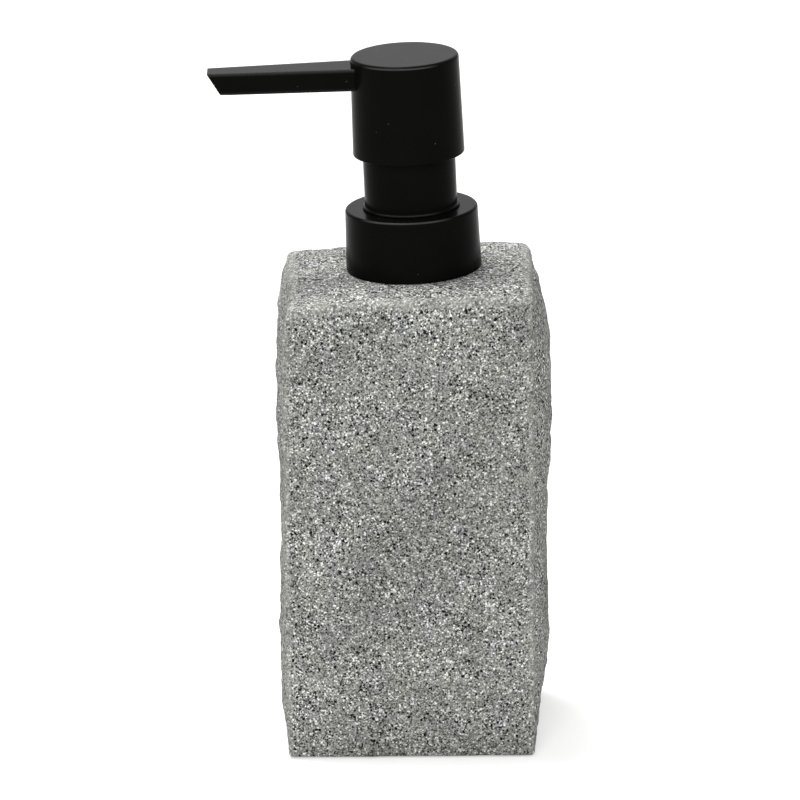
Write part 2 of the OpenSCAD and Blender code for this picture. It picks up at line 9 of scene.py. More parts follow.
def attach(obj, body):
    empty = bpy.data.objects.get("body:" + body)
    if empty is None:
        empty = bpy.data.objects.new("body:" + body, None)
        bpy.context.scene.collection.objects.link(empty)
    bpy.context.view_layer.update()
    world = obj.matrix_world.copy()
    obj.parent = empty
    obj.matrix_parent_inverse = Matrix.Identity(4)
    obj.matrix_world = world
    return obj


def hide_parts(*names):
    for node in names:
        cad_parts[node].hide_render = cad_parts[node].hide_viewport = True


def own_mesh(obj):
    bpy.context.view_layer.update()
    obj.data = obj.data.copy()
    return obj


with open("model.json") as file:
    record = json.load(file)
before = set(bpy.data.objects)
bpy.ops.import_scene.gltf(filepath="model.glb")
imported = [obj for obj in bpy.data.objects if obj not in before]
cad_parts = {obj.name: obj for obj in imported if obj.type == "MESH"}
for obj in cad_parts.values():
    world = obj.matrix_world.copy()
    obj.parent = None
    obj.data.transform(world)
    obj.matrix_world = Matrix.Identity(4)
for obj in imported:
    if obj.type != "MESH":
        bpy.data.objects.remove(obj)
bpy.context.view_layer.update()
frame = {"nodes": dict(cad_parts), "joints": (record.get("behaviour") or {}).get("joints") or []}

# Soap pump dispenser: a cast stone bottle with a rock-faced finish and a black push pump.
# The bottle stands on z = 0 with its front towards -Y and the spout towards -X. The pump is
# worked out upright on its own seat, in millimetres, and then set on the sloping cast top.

mm = 0.001

# The seat is where the collar's axis meets the stone, and the pump leans with that axis.
collar_joint = next(j for j in frame["joints"] if j["name"] == "collar_turn")
seat = np.array(collar_joint["pos_m"])
seat_up = np.array(collar_joint["axis"])
seat_right = np.array([seat_up[2], 0, -seat_up[0]])
seat_back = np.array([0.0, 1.0, 0.0])


def on_seat(points):
    """Pump millimetres to metres in the room: seat + x * right + y * back + z * up."""
    points = np.asarray(points, float) * mm
    return seat + points @ np.stack([seat_right, seat_back, seat_up])


# ---------------- camera
# A long lens a little above the bottle, square to its front and leaning half a degree.

scene = bpy.context.scene
look_down = math.radians(16.6)
view_lean = math.radians(0.5)
lens_distance = 2.1
aim_left_of_seat, aim_below_seat = 0.00376, 0.0356
forward = np.array([0.0, math.cos(look_down), -math.sin(look_down)])
level_right = np.array([1.0, 0.0, 0.0])
level_up = np.cross(level_right, forward)
view_right = math.cos(view_lean) * level_right - math.sin(view_lean) * level_up
view_up = math.sin(view_lean) * level_right + math.cos(view_lean) * level_up
lens_at = seat - aim_left_of_seat * view_right - aim_below_seat * view_up - lens_distance * forward

camera_data = bpy.data.cameras.new("camera")
camera_data.sensor_width = 36
camera_data.lens = 354.4
camera_data.clip_start, camera_data.clip_end = 0.1, 50
camera = bpy.data.objects.new("camera", camera_data)
camera.matrix_world = Matrix.Translation(Vector(lens_at)) @ Matrix(
    np.column_stack([view_right, view_up, -forward]).tolist()).to_4x4()
scene.collection.objects.link(camera)
scene.camera = camera
scene.view_settings.view_transform = "Standard"


# ---------------- stone bottle
# The bottle is cast stone, a polyester resin filled with crushed granite. It is poured into a rubber
# mould taken from a split block, so the sides keep the rock face between straight arrises. It is open
# below for the soap chamber, and has a stepped hole for the neck insert in its crowned, sloping top.

body_w, body_d, body_h = 64.8, 59.0, 128.5
seat_x, top_tilt = 1.2, math.radians(2.1)
arris_r, top_edge_r = 1.1, 2.1
stone_foot, foot_inset = 0.5, 0.5
# The top falls from the seat to its rim, more at the corners and most at the one behind on the right.
crown, crown_curve, corner_wear, back_wear, worn_over = 1.2, 1.6, 0.9, 0.42, 25
# The left arrises bow out by this share of their face's swell, and the back one spreads near the rim.
left_bow, rim_spread, spread_fade = 0.55, 0.8, 15
chamber_w, chamber_d, chamber_r = 48.0, 42.2, 8.0
chamber_top, chamber_floor, plate_under = 117.5, 5.0, 2.0
plate_ledge, pad_lip = 2.4, 1.4
seat_r, counterbore_r, neck_hole_r = 18.7, 15.35, 14.05
counterbore_depth = 1.7

# Faces in the order front, right, back, left: the swell in mm, how steeply its foot and head turn in and
# what they keep of it, and the place, lean and size of each face's slanting wave and shallow hollow.
face_out = np.array([[0, -1], [1, 0], [0, 1], [-1, 0]], float)
face_along = np.array([[1, 0], [0, 1], [-1, 0], [0, -1]], float)
swells = np.array([2.6, 4.5, 2.6, 2.85])
side_steep = 4.5
foot_steep, head_steep = np.array([6, 2.6, 6, 8]), np.array([12, 11, 7, 14])
foot_keep, head_keep = np.array([0, 0, 0, 0.7]), np.array([0, 0.1, 0, 0.1])
wave_crest, wave_count = np.array([0.72, 0.74, 0.3, 0.82]), np.array([1.6, 1.7, 1.8, 1.8])
wave_lean = np.array([0.5, 0.12, -0.35, 0.15])
wave_share, steep_share, slow_share = 0.18, 0.05, 0.06
hollow_at, hollow_climb = np.array([0.51, 0.4, 0.55, 0.325]), np.array([0.73, 0.1, -0.3, -0.1])
hollow_depth, hollow_half = np.array([0.8, 0.5, 0.7, 2]), np.array([0.06, 0.05, 0.07, 0.052])

across_steps, arris_steps, up_steps, edge_steps, crown_steps = 88, 8, 178, 8, 26
ring_steps = across_steps + arris_steps
ring_face = np.repeat(np.arange(4), ring_steps)
ring_step = np.tile(np.arange(ring_steps), 4)
on_arris = np.maximum(ring_step - across_steps, 0) / arris_steps
across = np.minimum(ring_step, across_steps) / across_steps


def lerp(a, b, t):
    """a + (b - a) * t."""
    return a + (b - a) * t


def hump(t, low, high, low_keep=0, high_keep=0):
    """1 - (1 - keep) * |2t - 1| to a power: flat on top, with its own steepness and end on each shoulder."""
    keep = np.where(t < 0.5, low_keep, high_keep)
    return 1 - (1 - keep) * np.abs(2 * t - 1) ** np.where(t < 0.5, low, high)


def rock(face, u, v):
    """Swell in mm: hump across * (swell * hump up * (1 + three slanting waves) - a shallow hollow). On the
    left the arrises bow out too, by a share of the swell that the face then leaves to them."""
    turn = 2 * np.pi
    own_wave = wave_count[face] * (v - wave_crest[face]) + wave_lean[face] * (u - 0.5)
    waves = (wave_share * np.cos(turn * own_wave)
             + steep_share * np.sin(turn * (3.4 * v - 1.3 * u + 0.27 * face))
             + slow_share * np.sin(turn * (1.7 * u + 0.9 * v + 0.4 * face)))
    off = (v - hollow_at[face] - hollow_climb[face] * (u - 0.5)) / hollow_half[face]
    bare = swells[face] * hump(v, foot_steep[face], head_steep[face], foot_keep[face], head_keep[face])
    own = 1 + waves - np.where(face == 3, left_bow, 0)
    return hump(u, side_steep, side_steep) * (bare * own - hollow_depth[face] * np.exp(-off * off))


def seat_plane(x):
    """Height of the sloping seat over x: seat height + distance from the axis * slope."""
    return body_h + (x - seat_x) * math.tan(top_tilt)


def square_ring(half_w, half_d, r):
    """Rounded rectangle, one step for each ring point: straight along a face, then a quarter turn."""
    half = np.array([half_w, half_d, half_w, half_d])[ring_face][:, None]
    out = np.array([half_d, half_w, half_d, half_w])[ring_face][:, None]
    turn = (on_arris * np.pi / 2)[:, None]
    along = (2 * across[:, None] - 1) * (half - r) + r * np.sin(turn)
    return face_out[ring_face] * (out - r + r * np.cos(turn)) + face_along[ring_face] * along


def block_rings(v, inset, drop):
    """Side and edge rings at shares v of the height: square ring + rock swell along the face's normal. The
    arrises on the left bow out, the back one most at the rim, and the rim is worn lower towards its back
    right corner."""
    flat = np.stack([square_ring(body_w / 2 - i, body_d / 2 - i, arris_r) for i in inset])
    bow = hump(v, foot_steep[3], head_steep[3], foot_keep[3], head_keep[3])
    spread = left_bow * swells[3] * bow[:, None]
    back = np.clip(flat[..., 1] / worn_over, 0, 1)
    spread = spread + rim_spread * np.exp((v - 1) * spread_fade)[:, None] * back
    flat[..., 0] -= spread * np.clip(-flat[..., 0] / 20 - 0.5, 0, 1)
    swell = np.where(on_arris > 0, 0, rock(ring_face, across, v[:, None]))
    xy = flat + face_out[ring_face] * swell[..., None]
    sag = crown + corner_wear * np.abs(2 * across - 1) ** 4
    sag = sag + back_wear * np.clip(flat[..., 0] / worn_over, 0, 1) * back
    top = seat_plane(flat[..., 0]) - sag - drop[:, None]
    return np.dstack([xy, lerp(stone_foot, top, v[:, None])])


def seat_ring(r, depth=0.0):
    """Ring on the pump's axis, below the seat by depth, with each point towards its own part of the edge."""
    toward = edge_ring[:, :2] - [seat_x, 0]
    toward = toward / np.linalg.norm(toward, axis=1, keepdims=True)
    return on_seat(np.column_stack([r * toward, np.full(len(toward), -depth)])) / mm


def level_ring(xy, z):
    """A ring at one height."""
    return np.column_stack([xy, np.full(len(xy), z)])


def lumps(p, cell, seed):
    """Value noise: random numbers from -1 to 1 on a lattice of cells, blended by a smooth step along each
    axis."""
    q = p / np.asarray(cell, float)
    q = q - np.floor(q.reshape(-1, 3).min(0))
    i = np.floor(q).astype(int)
    f = q - i
    f = f * f * (3 - 2 * f)
    grid = np.random.default_rng(seed).uniform(-1, 1, i.reshape(-1, 3).max(0) + 2)
    x, y, z = i[..., 0], i[..., 1], i[..., 2]
    total = 0
    for dx in (0, 1):
        for dy in (0, 1):
            for dz in (0, 1):
                near = np.abs(1 - dx - f[..., 0]) * np.abs(1 - dy - f[..., 1]) * np.abs(1 - dz - f[..., 2])
                total = total + near * grid[x + dx, y + dy, z + dz]
    return total


up = np.linspace(0, 1, up_steps + 1)
sides = block_rings(up, np.where(up == 0, foot_inset, 0.0), np.full(len(up), top_edge_r))
turn = np.linspace(0, np.pi / 2, edge_steps + 1)[1:]
edges = block_rings(np.ones(edge_steps), top_edge_r * (1 - np.cos(turn)), top_edge_r * (1 - np.sin(turn)))
edge_ring = edges[-1]
share = np.linspace(0, 1, crown_steps + 1)[1:, None, None]
crowned = lerp(edge_ring[None, :, :2], seat_ring(seat_r)[None, :, :2], share)
fall = seat_plane(edge_ring[:, 0]) - edge_ring[:, 2]
crowned = np.dstack([crowned, seat_plane(crowned[..., 0]) - fall * (1 - share[..., 0]) ** crown_curve])

hole_foot = seat_ring(neck_hole_r, counterbore_depth)
hole_foot = hole_foot - seat_up * ((hole_foot[:, 2:] - chamber_top) / seat_up[2])
chamber = [square_ring(chamber_w / 2 + g, chamber_d / 2 + g, chamber_r + g)
           for g in (0, plate_ledge, plate_ledge + pad_lip)]
inside = np.stack([
    seat_ring(counterbore_r + 1.6), seat_ring(counterbore_r + 0.15), seat_ring(counterbore_r, 0.15),
    seat_ring(counterbore_r, counterbore_depth), seat_ring(neck_hole_r, counterbore_depth),
    lerp(seat_ring(neck_hole_r, counterbore_depth), hole_foot, 0.5), hole_foot,
    lerp(hole_foot, level_ring(chamber[0], chamber_top), 0.5), level_ring(chamber[0] * 0.98, chamber_top),
    level_ring(chamber[0], chamber_top - 0.6), level_ring(chamber[0], 80), level_ring(chamber[0], 40),
    level_ring(chamber[0], chamber_floor), level_ring(chamber[1], chamber_floor),
    level_ring(chamber[1], plate_under), level_ring(chamber[2], plate_under),
    level_ring(chamber[2], stone_foot + 0.2), level_ring(chamber[2] * 1.004, stone_foot),
    lerp(level_ring(chamber[2], stone_foot), sides[0], 0.5)])
stone = np.concatenate([sides, edges, crowned, inside])

# The rock face carries chipped lumps from 22 mm down to the 0.8 mm of the crushed granite itself, which
# die out under the collar, towards the foot and inside the bottle.
ring_way, rise_way = (np.roll(stone, -1, axis) - np.roll(stone, 1, axis) for axis in (1, 0))
outward = np.cross(ring_way, rise_way)
outward = outward / np.maximum(np.linalg.norm(outward, axis=2, keepdims=True), 1e-9)
ring_count = len(stone)
outer_rings = len(sides) + len(edges) + len(crowned)
loose = np.zeros((ring_count, 1))
loose[:outer_rings] = 1
loose[:3, 0] = [0.15, 0.5, 0.8]
from_axis = np.linalg.norm(stone[:outer_rings, :, :2] - [seat_x, 0], axis=2)
near_seat = np.where(np.arange(outer_rings)[:, None] >= len(sides),
                     np.clip((from_axis - seat_r) / 2.5, 0, 1), 1)
mask = np.zeros(stone.shape[:2])
mask[:outer_rings] = loose[:outer_rings] * near_seat
on_top = np.clip(outward[..., 2], 0, 1)
chips = np.abs(lumps(stone, (13, 13, 9), 11)) - 0.35
relief = lerp(0.6, 0.2, on_top) * chips
for tall, cell, seed in ((0.3, (22, 22, 15), 17), (0.26, (6, 6, 4.2), 12), (0.13, (5, 5, 1.7), 18),
                         (0.16, (3, 3, 2.4), 13), (0.13, 1.5, 14), (0.07, 0.8, 15)):
    relief = relief + tall * lumps(stone, cell, seed)
stone = stone + outward * (relief * mask)[..., None]

# The arrises and the rim of the top are painted paler, a painted highlight, as far from each line as named
# here in mm, and each hollow is painted darker along its line, a painted shade.
arris_highlight_reach, rim_highlight_reach, rim_to_seat, unworn = 0.6, 0.7, 12, 99.0
hollow_shade_half = 0.11
from_arris = np.minimum(across, 1 - across) * (body_w + body_d) / 2
from_rim = np.full((ring_count, 1), unworn)
from_rim[:outer_rings, 0] = np.concatenate([
    (1 - up) * body_h, np.zeros(edge_steps), share[:, 0, 0] * rim_to_seat])
from_arris = np.where(np.arange(ring_count)[:, None] < len(sides) + edge_steps, from_arris, unworn)
# Painted shade mask: darkest along each face's hollow, fading either side of its line.
off = (up[:, None] - hollow_at[ring_face] - hollow_climb[ring_face] * (across - 0.5)) / hollow_shade_half
hollow_shade_mask = np.zeros((ring_count, len(ring_face)))
hollow_shade_mask[:len(sides)] = np.exp(-off * off) * hump(across, side_steep, side_steep)
# Painted highlight mask: 1 on the arrises and the rim of the top, falling off over the reach.
edge_highlight_mask = np.clip(1 - np.minimum(from_arris / arris_highlight_reach, from_rim / rim_highlight_reach), 0, 1)
edge_highlight_mask = edge_highlight_mask * (0.8 + 0.5 * lumps(stone, 3, 16))


def mesh_of(name, grids):
    """A mesh from grids (rings, points, 3): each ring closes on itself, and the last ring meets the first,
    unless both end rings have shrunk to a point, which then closes the end. Faces are turned outwards."""
    vertices, faces, first = [], [], 0
    for grid in grids:
        rings, count = grid.shape[:2]
        index = np.arange(rings * count).reshape(rings, count)
        poles = [np.ptp(grid[i], axis=0).max() < 1e-9 for i in (0, -1)]
        for i, pole in zip((0, -1), poles):
            if pole:
                index[i] = index[i, 0]
        used, compact = np.unique(index, return_inverse=True)
        index = compact.reshape(rings, count)
        low, high = (index[:-1], index[1:]) if any(poles) else (index, np.roll(index, -1, 0))
        quads = np.stack([low, np.roll(low, -1, 1), np.roll(high, -1, 1), high], -1).reshape(-1, 4)
        points = grid.reshape(-1, 3)[used]
        middle = points.mean(0)
        a, b, c, d = (points[quads[:, i]] - middle for i in range(4))
        if (np.cross(a, b) * c + np.cross(a, c) * d).sum() < 0:
            quads = quads[:, ::-1]
        quads = quads + first
        whole = (quads != np.roll(quads, 1, 1)).all(1)
        faces += quads[whole].tolist()
        narrow = quads[~whole]
        faces += [[v for v, w in zip(q, q[1:] + q[:1]) if v != w] for q in narrow.tolist()]
        vertices.append(points)
        first += len(points)
    mesh = bpy.data.meshes.new(name)
    mesh.from_pydata(np.concatenate(vertices), [], faces)
    mesh.polygons.foreach_set("use_smooth", np.ones(len(mesh.polygons), bool))
    mesh.set_sharp_from_angle(angle=math.radians(40))
    return mesh


def add_piece(name, grids, material, body, slot, *nodes):
    """Puts a finished piece on its body, in place of the solids that stood for it."""
    piece = bpy.data.objects.new(name, mesh_of(name, grids))
    piece.data.materials.append(material)
    scene.collection.objects.link(piece)
    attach(piece, body)
    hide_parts(*nodes)
    return piece


def linear(code):
    """sRGB hex to linear RGBA."""
    c = np.array([int(code[i:i + 2], 16) for i in (1, 3, 5)]) / 255
    return (*np.where(c <= 0.04045, c / 12.92, ((c + 0.055) / 1.055) ** 2.4).tolist(), 1.0)


def add_node(owner, kind, inputs=None, **settings):
    """Adds a node with its settings, and sets or links its inputs."""
    made = owner.node_tree.nodes.new("ShaderNode" + kind)
    for key, value in settings.items():
        setattr(made, key, value)
    for key, value in (inputs or {}).items():
        if isinstance(value, bpy.types.NodeSocket):
            owner.node_tree.links.new(value, made.inputs[key])
        else:
            made.inputs[key].default_value = value
    return made


def new_material(name):
    """An empty material and its Object coordinates."""
    material = bpy.data.materials.new(name)
    material.use_nodes = True
    material.node_tree.nodes.clear()
    return material, add_node(material, "TexCoord").outputs["Object"]


def finish_material(material, shader):
    """Joins the shader to the material's output."""
    add_node(material, "OutputMaterial", {"Surface": shader.outputs[0]})
    return material


# Granite-filled polyester, cast and left matt: a grey ground of sand-fine grit, pale quartz and feldspar
# shards of 0.4 to 0.7 mm and charcoal mica flecks of 0.5 to 0.85 mm, mixed cloudily from place to place.
# Along the arrises and the rim of the top the colour is painted paler, a painted highlight.
granite, at = new_material("granite_filled_cast_resin")
ragged = add_node(granite, "TexNoise", {"Vector": at, "Scale": 1 / (0.4 * mm), "Detail": 1.0})
ragged = add_node(granite, "VectorMath", {
    0: ragged.outputs["Color"], 1: (0.5, 0.5, 0.5)}, operation="SUBTRACT")
ragged = add_node(granite, "VectorMath", {0: ragged.outputs[0], "Scale": 0.4 * mm}, operation="SCALE")
ragged = add_node(granite, "VectorMath", {0: at, 1: ragged.outputs[0]}, operation="ADD").outputs[0]

sand = add_node(granite, "TexNoise", {
    "Vector": at, "Scale": 1 / (0.48 * mm), "Detail": 2.0, "Roughness": 0.8})
sandy = add_node(granite, "MapRange", {"Value": sand.outputs["Fac"], "From Min": 0.37, "From Max": 0.65})
ground = add_node(granite, "Mix", {
    0: sandy.outputs[0], 6: linear("#4b4c49"), 7: linear("#b7b8b3")}, data_type="RGBA")
colour, height = ground.outputs[2], sand.outputs["Fac"]
# The filler settles unevenly, so that the grains lie closer in one place than in another, and closest on
# the top, which is the floor of the mould.
mix = add_node(granite, "TexNoise", {"Vector": at, "Scale": 1 / (7 * mm), "Detail": 2.0})
sparse = add_node(granite, "MapRange", {
    "Value": mix.outputs["Fac"], "From Min": 0.35, "From Max": 0.65, "To Min": 0.05, "To Max": -0.05})
settled = add_node(granite, "Attribute", attribute_name="settled")
sparse = add_node(granite, "Math", {
    0: settled.outputs["Fac"], 1: -0.06, 2: sparse.outputs[0]}, operation="MULTIPLY_ADD")
# Each kind of grain: cell in mm, share left out, reach and core in cells, colour, stand above the ground.
grains = [(0.42, 0.80, 0.54, 0.42, "#c8c9c3", 0.3), (0.50, 0.86, 0.48, 0.38, "#f0f0eb", 0.7),
          (0.68, 0.955, 0.46, 0.36, "#ffffff", 1.0), (0.50, 0.80, 0.50, 0.42, "#424340", -0.5),
          (0.62, 0.90, 0.46, 0.38, "#282827", -0.8), (0.85, 0.962, 0.46, 0.40, "#161616", -1.0)]
for number, (size, rarity, reach, core, code, rise) in enumerate(grains):
    moved = add_node(granite, "VectorMath", {
        0: ragged, 1: (0.37 * number, 0.21 * number, 0.53)}, operation="ADD")
    cells = add_node(granite, "TexVoronoi", {
        "Vector": moved.outputs[0], "Scale": 1 / (size * mm)}, distance="CHEBYCHEV")
    drawn = add_node(granite, "SeparateColor", {0: cells.outputs["Color"]})
    limit = add_node(granite, "Math", {0: sparse.outputs[0], 1: rarity})
    chosen = add_node(granite, "Math", {0: drawn.outputs[0], 1: limit.outputs[0]}, operation="GREATER_THAN")
    blob = add_node(granite, "MapRange", {
        "Value": cells.outputs["Distance"], "From Min": reach, "From Max": core})
    grain = add_node(granite, "Math", {0: blob.outputs[0], 1: chosen.outputs[0]}, operation="MULTIPLY")
    colour = add_node(granite, "Mix", {
        0: grain.outputs[0], 6: colour, 7: linear(code)}, data_type="RGBA").outputs[2]
    height = add_node(granite, "Math", {
        0: grain.outputs[0], 1: 0.4 * rise, 2: height}, operation="MULTIPLY_ADD").outputs[0]
clouds = add_node(granite, "TexNoise", {"Vector": at, "Scale": 1 / (17 * mm), "Detail": 3.0})
cloudy = add_node(granite, "MapRange", {
    "Value": clouds.outputs["Fac"], "From Min": 0.3, "From Max": 0.7, "To Min": 0.86, "To Max": 1.14})
colour = add_node(granite, "VectorMath", {0: colour, "Scale": cloudy.outputs[0]}, operation="SCALE")
stains = add_node(granite, "TexNoise", {"Vector": at, "Scale": 1 / (5 * mm), "Detail": 2.0})
stained = add_node(granite, "MapRange", {
    "Value": stains.outputs["Fac"], "From Min": 0.35, "From Max": 0.65})
tint = add_node(granite, "Mix", {
    0: stained.outputs[0], 6: (0.985, 0.985, 1.02, 1), 7: (1.01, 1.012, 0.99, 1)}, data_type="RGBA")
colour = add_node(granite, "VectorMath", {0: colour.outputs[0], 1: tint.outputs[2]}, operation="MULTIPLY")
# Painted shade: the colour is darker along the hollows, and a little paler elsewhere.
painted_hollow_shade = add_node(granite, "Attribute", attribute_name="painted_hollow_shade")
hollow_shade_scale = add_node(granite, "MapRange", {"Value": painted_hollow_shade.outputs["Fac"], "To Min": 1.02, "To Max": 0.87})
colour = add_node(granite, "VectorMath", {
    0: colour.outputs[0], "Scale": hollow_shade_scale.outputs[0]}, operation="SCALE")
# Painted highlight: paler along the arrises and the rim of the top.
worn = add_node(granite, "Attribute", attribute_name="worn")
worn = add_node(granite, "Math", {0: worn.outputs["Fac"], 1: 0.42}, operation="MULTIPLY")
colour = add_node(granite, "Mix", {
    0: worn.outputs[0], 6: colour.outputs[0], 7: linear("#acada7")}, data_type="RGBA")
bump = add_node(granite, "Bump", {"Strength": 0.4, "Distance": 0.12 * mm, "Height": height})
roughness = add_node(granite, "MapRange", {"Value": sand.outputs["Fac"], "To Min": 0.85, "To Max": 0.62})
finish_material(granite, add_node(granite, "BsdfPrincipled", {
    "Base Color": colour.outputs[2], "Roughness": roughness.outputs[0], "IOR": 1.54,
    "Specular IOR Level": 0.05, "Normal": bump.outputs[0]}))


def mark(piece, name, values):
    """Stores a value for each point of a piece, for its material to read."""
    piece.data.attributes.new(name, "FLOAT", "POINT").data.foreach_set("value", values)


bottle = add_piece("stone_bottle", [stone * mm], granite, "bottle", "cast_stone", "bottle_body")
# The paler arrises and rim are a painted highlight, and the darker hollows are painted shade.
mark(bottle, "worn", edge_highlight_mask.ravel())
mark(bottle, "painted_hollow_shade", hollow_shade_mask.ravel())
mark(bottle, "settled", on_top.ravel())


# ---------------- base plate
# The plate that closes the soap chamber is cast from the same resin with finer filler. It is a flat
# slab, glued to the shoulder under the chamber, and its underside shows the wipe of the filling knife.

plate_cast, at = new_material("fine_filled_cast_resin")
flour = add_node(plate_cast, "TexNoise", {"Vector": at, "Scale": 1 / (0.5 * mm), "Detail": 3.0})
wipes = add_node(plate_cast, "TexNoise", {"Vector": add_node(
    plate_cast, "Mapping", {"Vector": at, "Scale": (60.0, 1400.0, 60.0)}).outputs[0], "Scale": 1.0})
plate_colour = add_node(plate_cast, "Mix", {
    0: flour.outputs["Fac"], 6: linear("#62625e"), 7: linear("#8f8f89")}, data_type="RGBA")
plate_height = add_node(plate_cast, "Math", {0: flour.outputs["Fac"], 1: wipes.outputs["Fac"]})
plate_bump = add_node(plate_cast, "Bump", {
    "Strength": 0.3, "Distance": 0.08 * mm, "Height": plate_height.outputs[0]})
finish_material(plate_cast, add_node(plate_cast, "BsdfPrincipled", {
    "Base Color": plate_colour.outputs[2], "Roughness": 0.72, "IOR": 1.54,
    "Normal": plate_bump.outputs[0]}))


def finish_node(name, material):
    """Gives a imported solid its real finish."""
    frame["nodes"][name].data.materials.clear()
    frame["nodes"][name].data.materials.append(material)


finish_node("base_plate", plate_cast)


# ---------------- foam pad
# The bottle stands on a pad die-cut from 2 mm closed-cell EVA foam with an adhesive back. It stands
# half a millimetre proud of the stone, and its cut edge is pressed a little round by the die.

pad_w, pad_d, pad_r, pad_t = 55.3, 49.5, 11.65, 2.0
pad_round = 0.35
pad_turn = np.linspace(0, np.pi / 2, 5)


def pad_ring(inset, z):
    """The pad's outline, drawn in by inset, at height z."""
    return level_ring(square_ring(pad_w / 2 - inset, pad_d / 2 - inset, pad_r - inset), z)


low_edge = [pad_ring(pad_round * (1 - math.sin(a)), pad_round * (1 - math.cos(a))) for a in pad_turn]
high_edge = [pad_ring(pad_round * (1 - math.cos(a)), pad_t - pad_round * (1 - math.sin(a)))
             for a in pad_turn]
under_face = [lerp(low_edge[0], [0, 0, 0], t) for t in (1, 0.66, 0.33)]
glued_face = [lerp(high_edge[-1], [0, 0, pad_t], t) for t in (0.33, 0.66, 1)]
pad_grid = np.stack(under_face + low_edge + high_edge + glued_face)[:, ::2]

eva_foam, at = new_material("closed_cell_eva_foam")
foam_cells = add_node(eva_foam, "TexVoronoi", {"Vector": at, "Scale": 1 / (0.35 * mm)})
foam_colour = add_node(eva_foam, "Mix", {
    0: foam_cells.outputs["Distance"], 6: linear("#1f1f1f"), 7: linear("#3a3a3a")}, data_type="RGBA")
foam_bump = add_node(eva_foam, "Bump", {
    "Strength": 0.5, "Distance": 0.06 * mm, "Height": foam_cells.outputs["Distance"]})
finish_material(eva_foam, add_node(eva_foam, "BsdfPrincipled", {
    "Base Color": foam_colour.outputs[2], "Roughness": 0.9, "IOR": 1.48, "Specular IOR Level": 0.3,
    "Sheen Weight": 0.15, "Normal": foam_bump.outputs[0]}))
add_piece("foam_pad", [pad_grid * mm], eva_foam, "bottle", "foam_pad", "base_pad")


# ---------------- neck insert
# A turned-looking neck of white polypropylene, injection moulded and cast into the stone by its
# anchoring rings. Its flange lies flush with the top, and one turn and a half of thread takes the collar.

turn_sides = 160


def rounded(corners, steps):
    """Profile through corners (r, z, radius): each corner becomes an arc tangent to both its sides, in
    equal steps of the angle between its two ends seen from its centre."""
    corners = np.asarray(corners, float)
    out = []
    for before, corner, after in zip(np.roll(corners, 1, 0), corners, np.roll(corners, -1, 0)):
        a, b = before[:2] - corner[:2], after[:2] - corner[:2]
        a, b = a / np.linalg.norm(a), b / np.linalg.norm(b)
        half = math.acos(np.clip(a @ b, -1, 1)) / 2
        if corner[2] == 0 or abs(half - math.pi / 2) < 1e-3:
            out.append(corner[:2])
            continue
        centre = corner[:2] + (a + b) / np.linalg.norm(a + b) * corner[2] / math.sin(half)
        p = corner[:2] + a * corner[2] / math.tan(half) - centre
        q = corner[:2] + b * corner[2] / math.tan(half) - centre
        sweep = math.pi - 2 * half
        out += [centre + (math.sin((1 - s) * sweep) * p + math.sin(s * sweep) * q) / math.sin(sweep)
                for s in np.linspace(0, 1, steps + 1)]
    return np.array(out)


def turned(profile, sides=turn_sides):
    """A profile (r, z) carried round the axis: r cos a, r sin a, z."""
    a = np.linspace(0, 2 * np.pi, sides, endpoint=False)
    r, z = profile[:, :1], profile[:, 1:2]
    return np.dstack([r * np.cos(a), r * np.sin(a), z + 0 * a])


def finer(profile, longest):
    """The closed profile with extra points, so that no step is longer than the given one."""
    after = np.roll(profile, -1, 0)
    count = np.ceil(np.linalg.norm(after - profile, axis=1) / longest).astype(int).clip(1)
    return np.concatenate([lerp(p, q, np.arange(n)[:, None] / n)
                           for p, q, n in zip(profile, after, count)])


thread_pitch, thread_crest, thread_foot, thread_height, thread_start = 4.23, 0.7, 1.5, 0.85, 2.6


def thread(grid, r_range, z_range, start, turns, rise):
    """Adds a thread to a turned grid: a flat-topped ridge round a helix, with its ends run out smoothly."""
    r = np.hypot(grid[..., 0], grid[..., 1])
    a = np.arctan2(grid[..., 1], grid[..., 0]) / (2 * np.pi)
    z = grid[..., 2]
    along = np.floor((z - start) / thread_pitch - a + 0.5) + a
    off = z - start - along * thread_pitch
    ridge = np.clip((thread_foot / 2 - np.abs(off)) / ((thread_foot - thread_crest) / 2), 0, 1)
    ends = np.clip(np.minimum(along, turns - along) * 6, 0, 1)
    there = (r > r_range[0]) & (r < r_range[1]) & (z > z_range[0]) & (z < z_range[1])
    scale = 1 + np.where(there, rise * ridge * ends, 0) / np.maximum(r, 1e-6)
    return np.dstack([grid[..., 0] * scale, grid[..., 1] * scale, z])


neck_r, neck_bore_r, neck_top = 12.8, 10.25, 11.6
insert_depth, flange_r, flange_thick, anchor_r = 9.5, 15.2, 1.6, 13.9
anchor_pitch = (insert_depth - flange_thick) / 3.5
anchors = []
for i in (1, 2, 3):
    anchor_foot = -flange_thick - i * anchor_pitch
    anchor_head = -flange_thick - (i - 0.5) * anchor_pitch
    anchors += [(neck_r, anchor_head, 0.2), (anchor_r, anchor_head, 0.2), (anchor_r, anchor_foot, 0.2),
                (neck_r, anchor_foot, 0.2)]
neck_profile = rounded([
    (neck_bore_r, -insert_depth, 0.2), (neck_bore_r, neck_top, 0.25), (neck_r, neck_top, 0.4),
    (neck_r, 0, 0.3), (flange_r, 0, 0.15), (flange_r, -flange_thick, 0.15), (neck_r, -flange_thick, 0.2),
    *anchors, (neck_r, -insert_depth, 0.3)], 4)
neck_grid = thread(turned(finer(neck_profile, 0.22)), (neck_r - 0.3, neck_r + 0.4), (1.2, neck_top - 0.8),
                   thread_start, 1.5, thread_height)


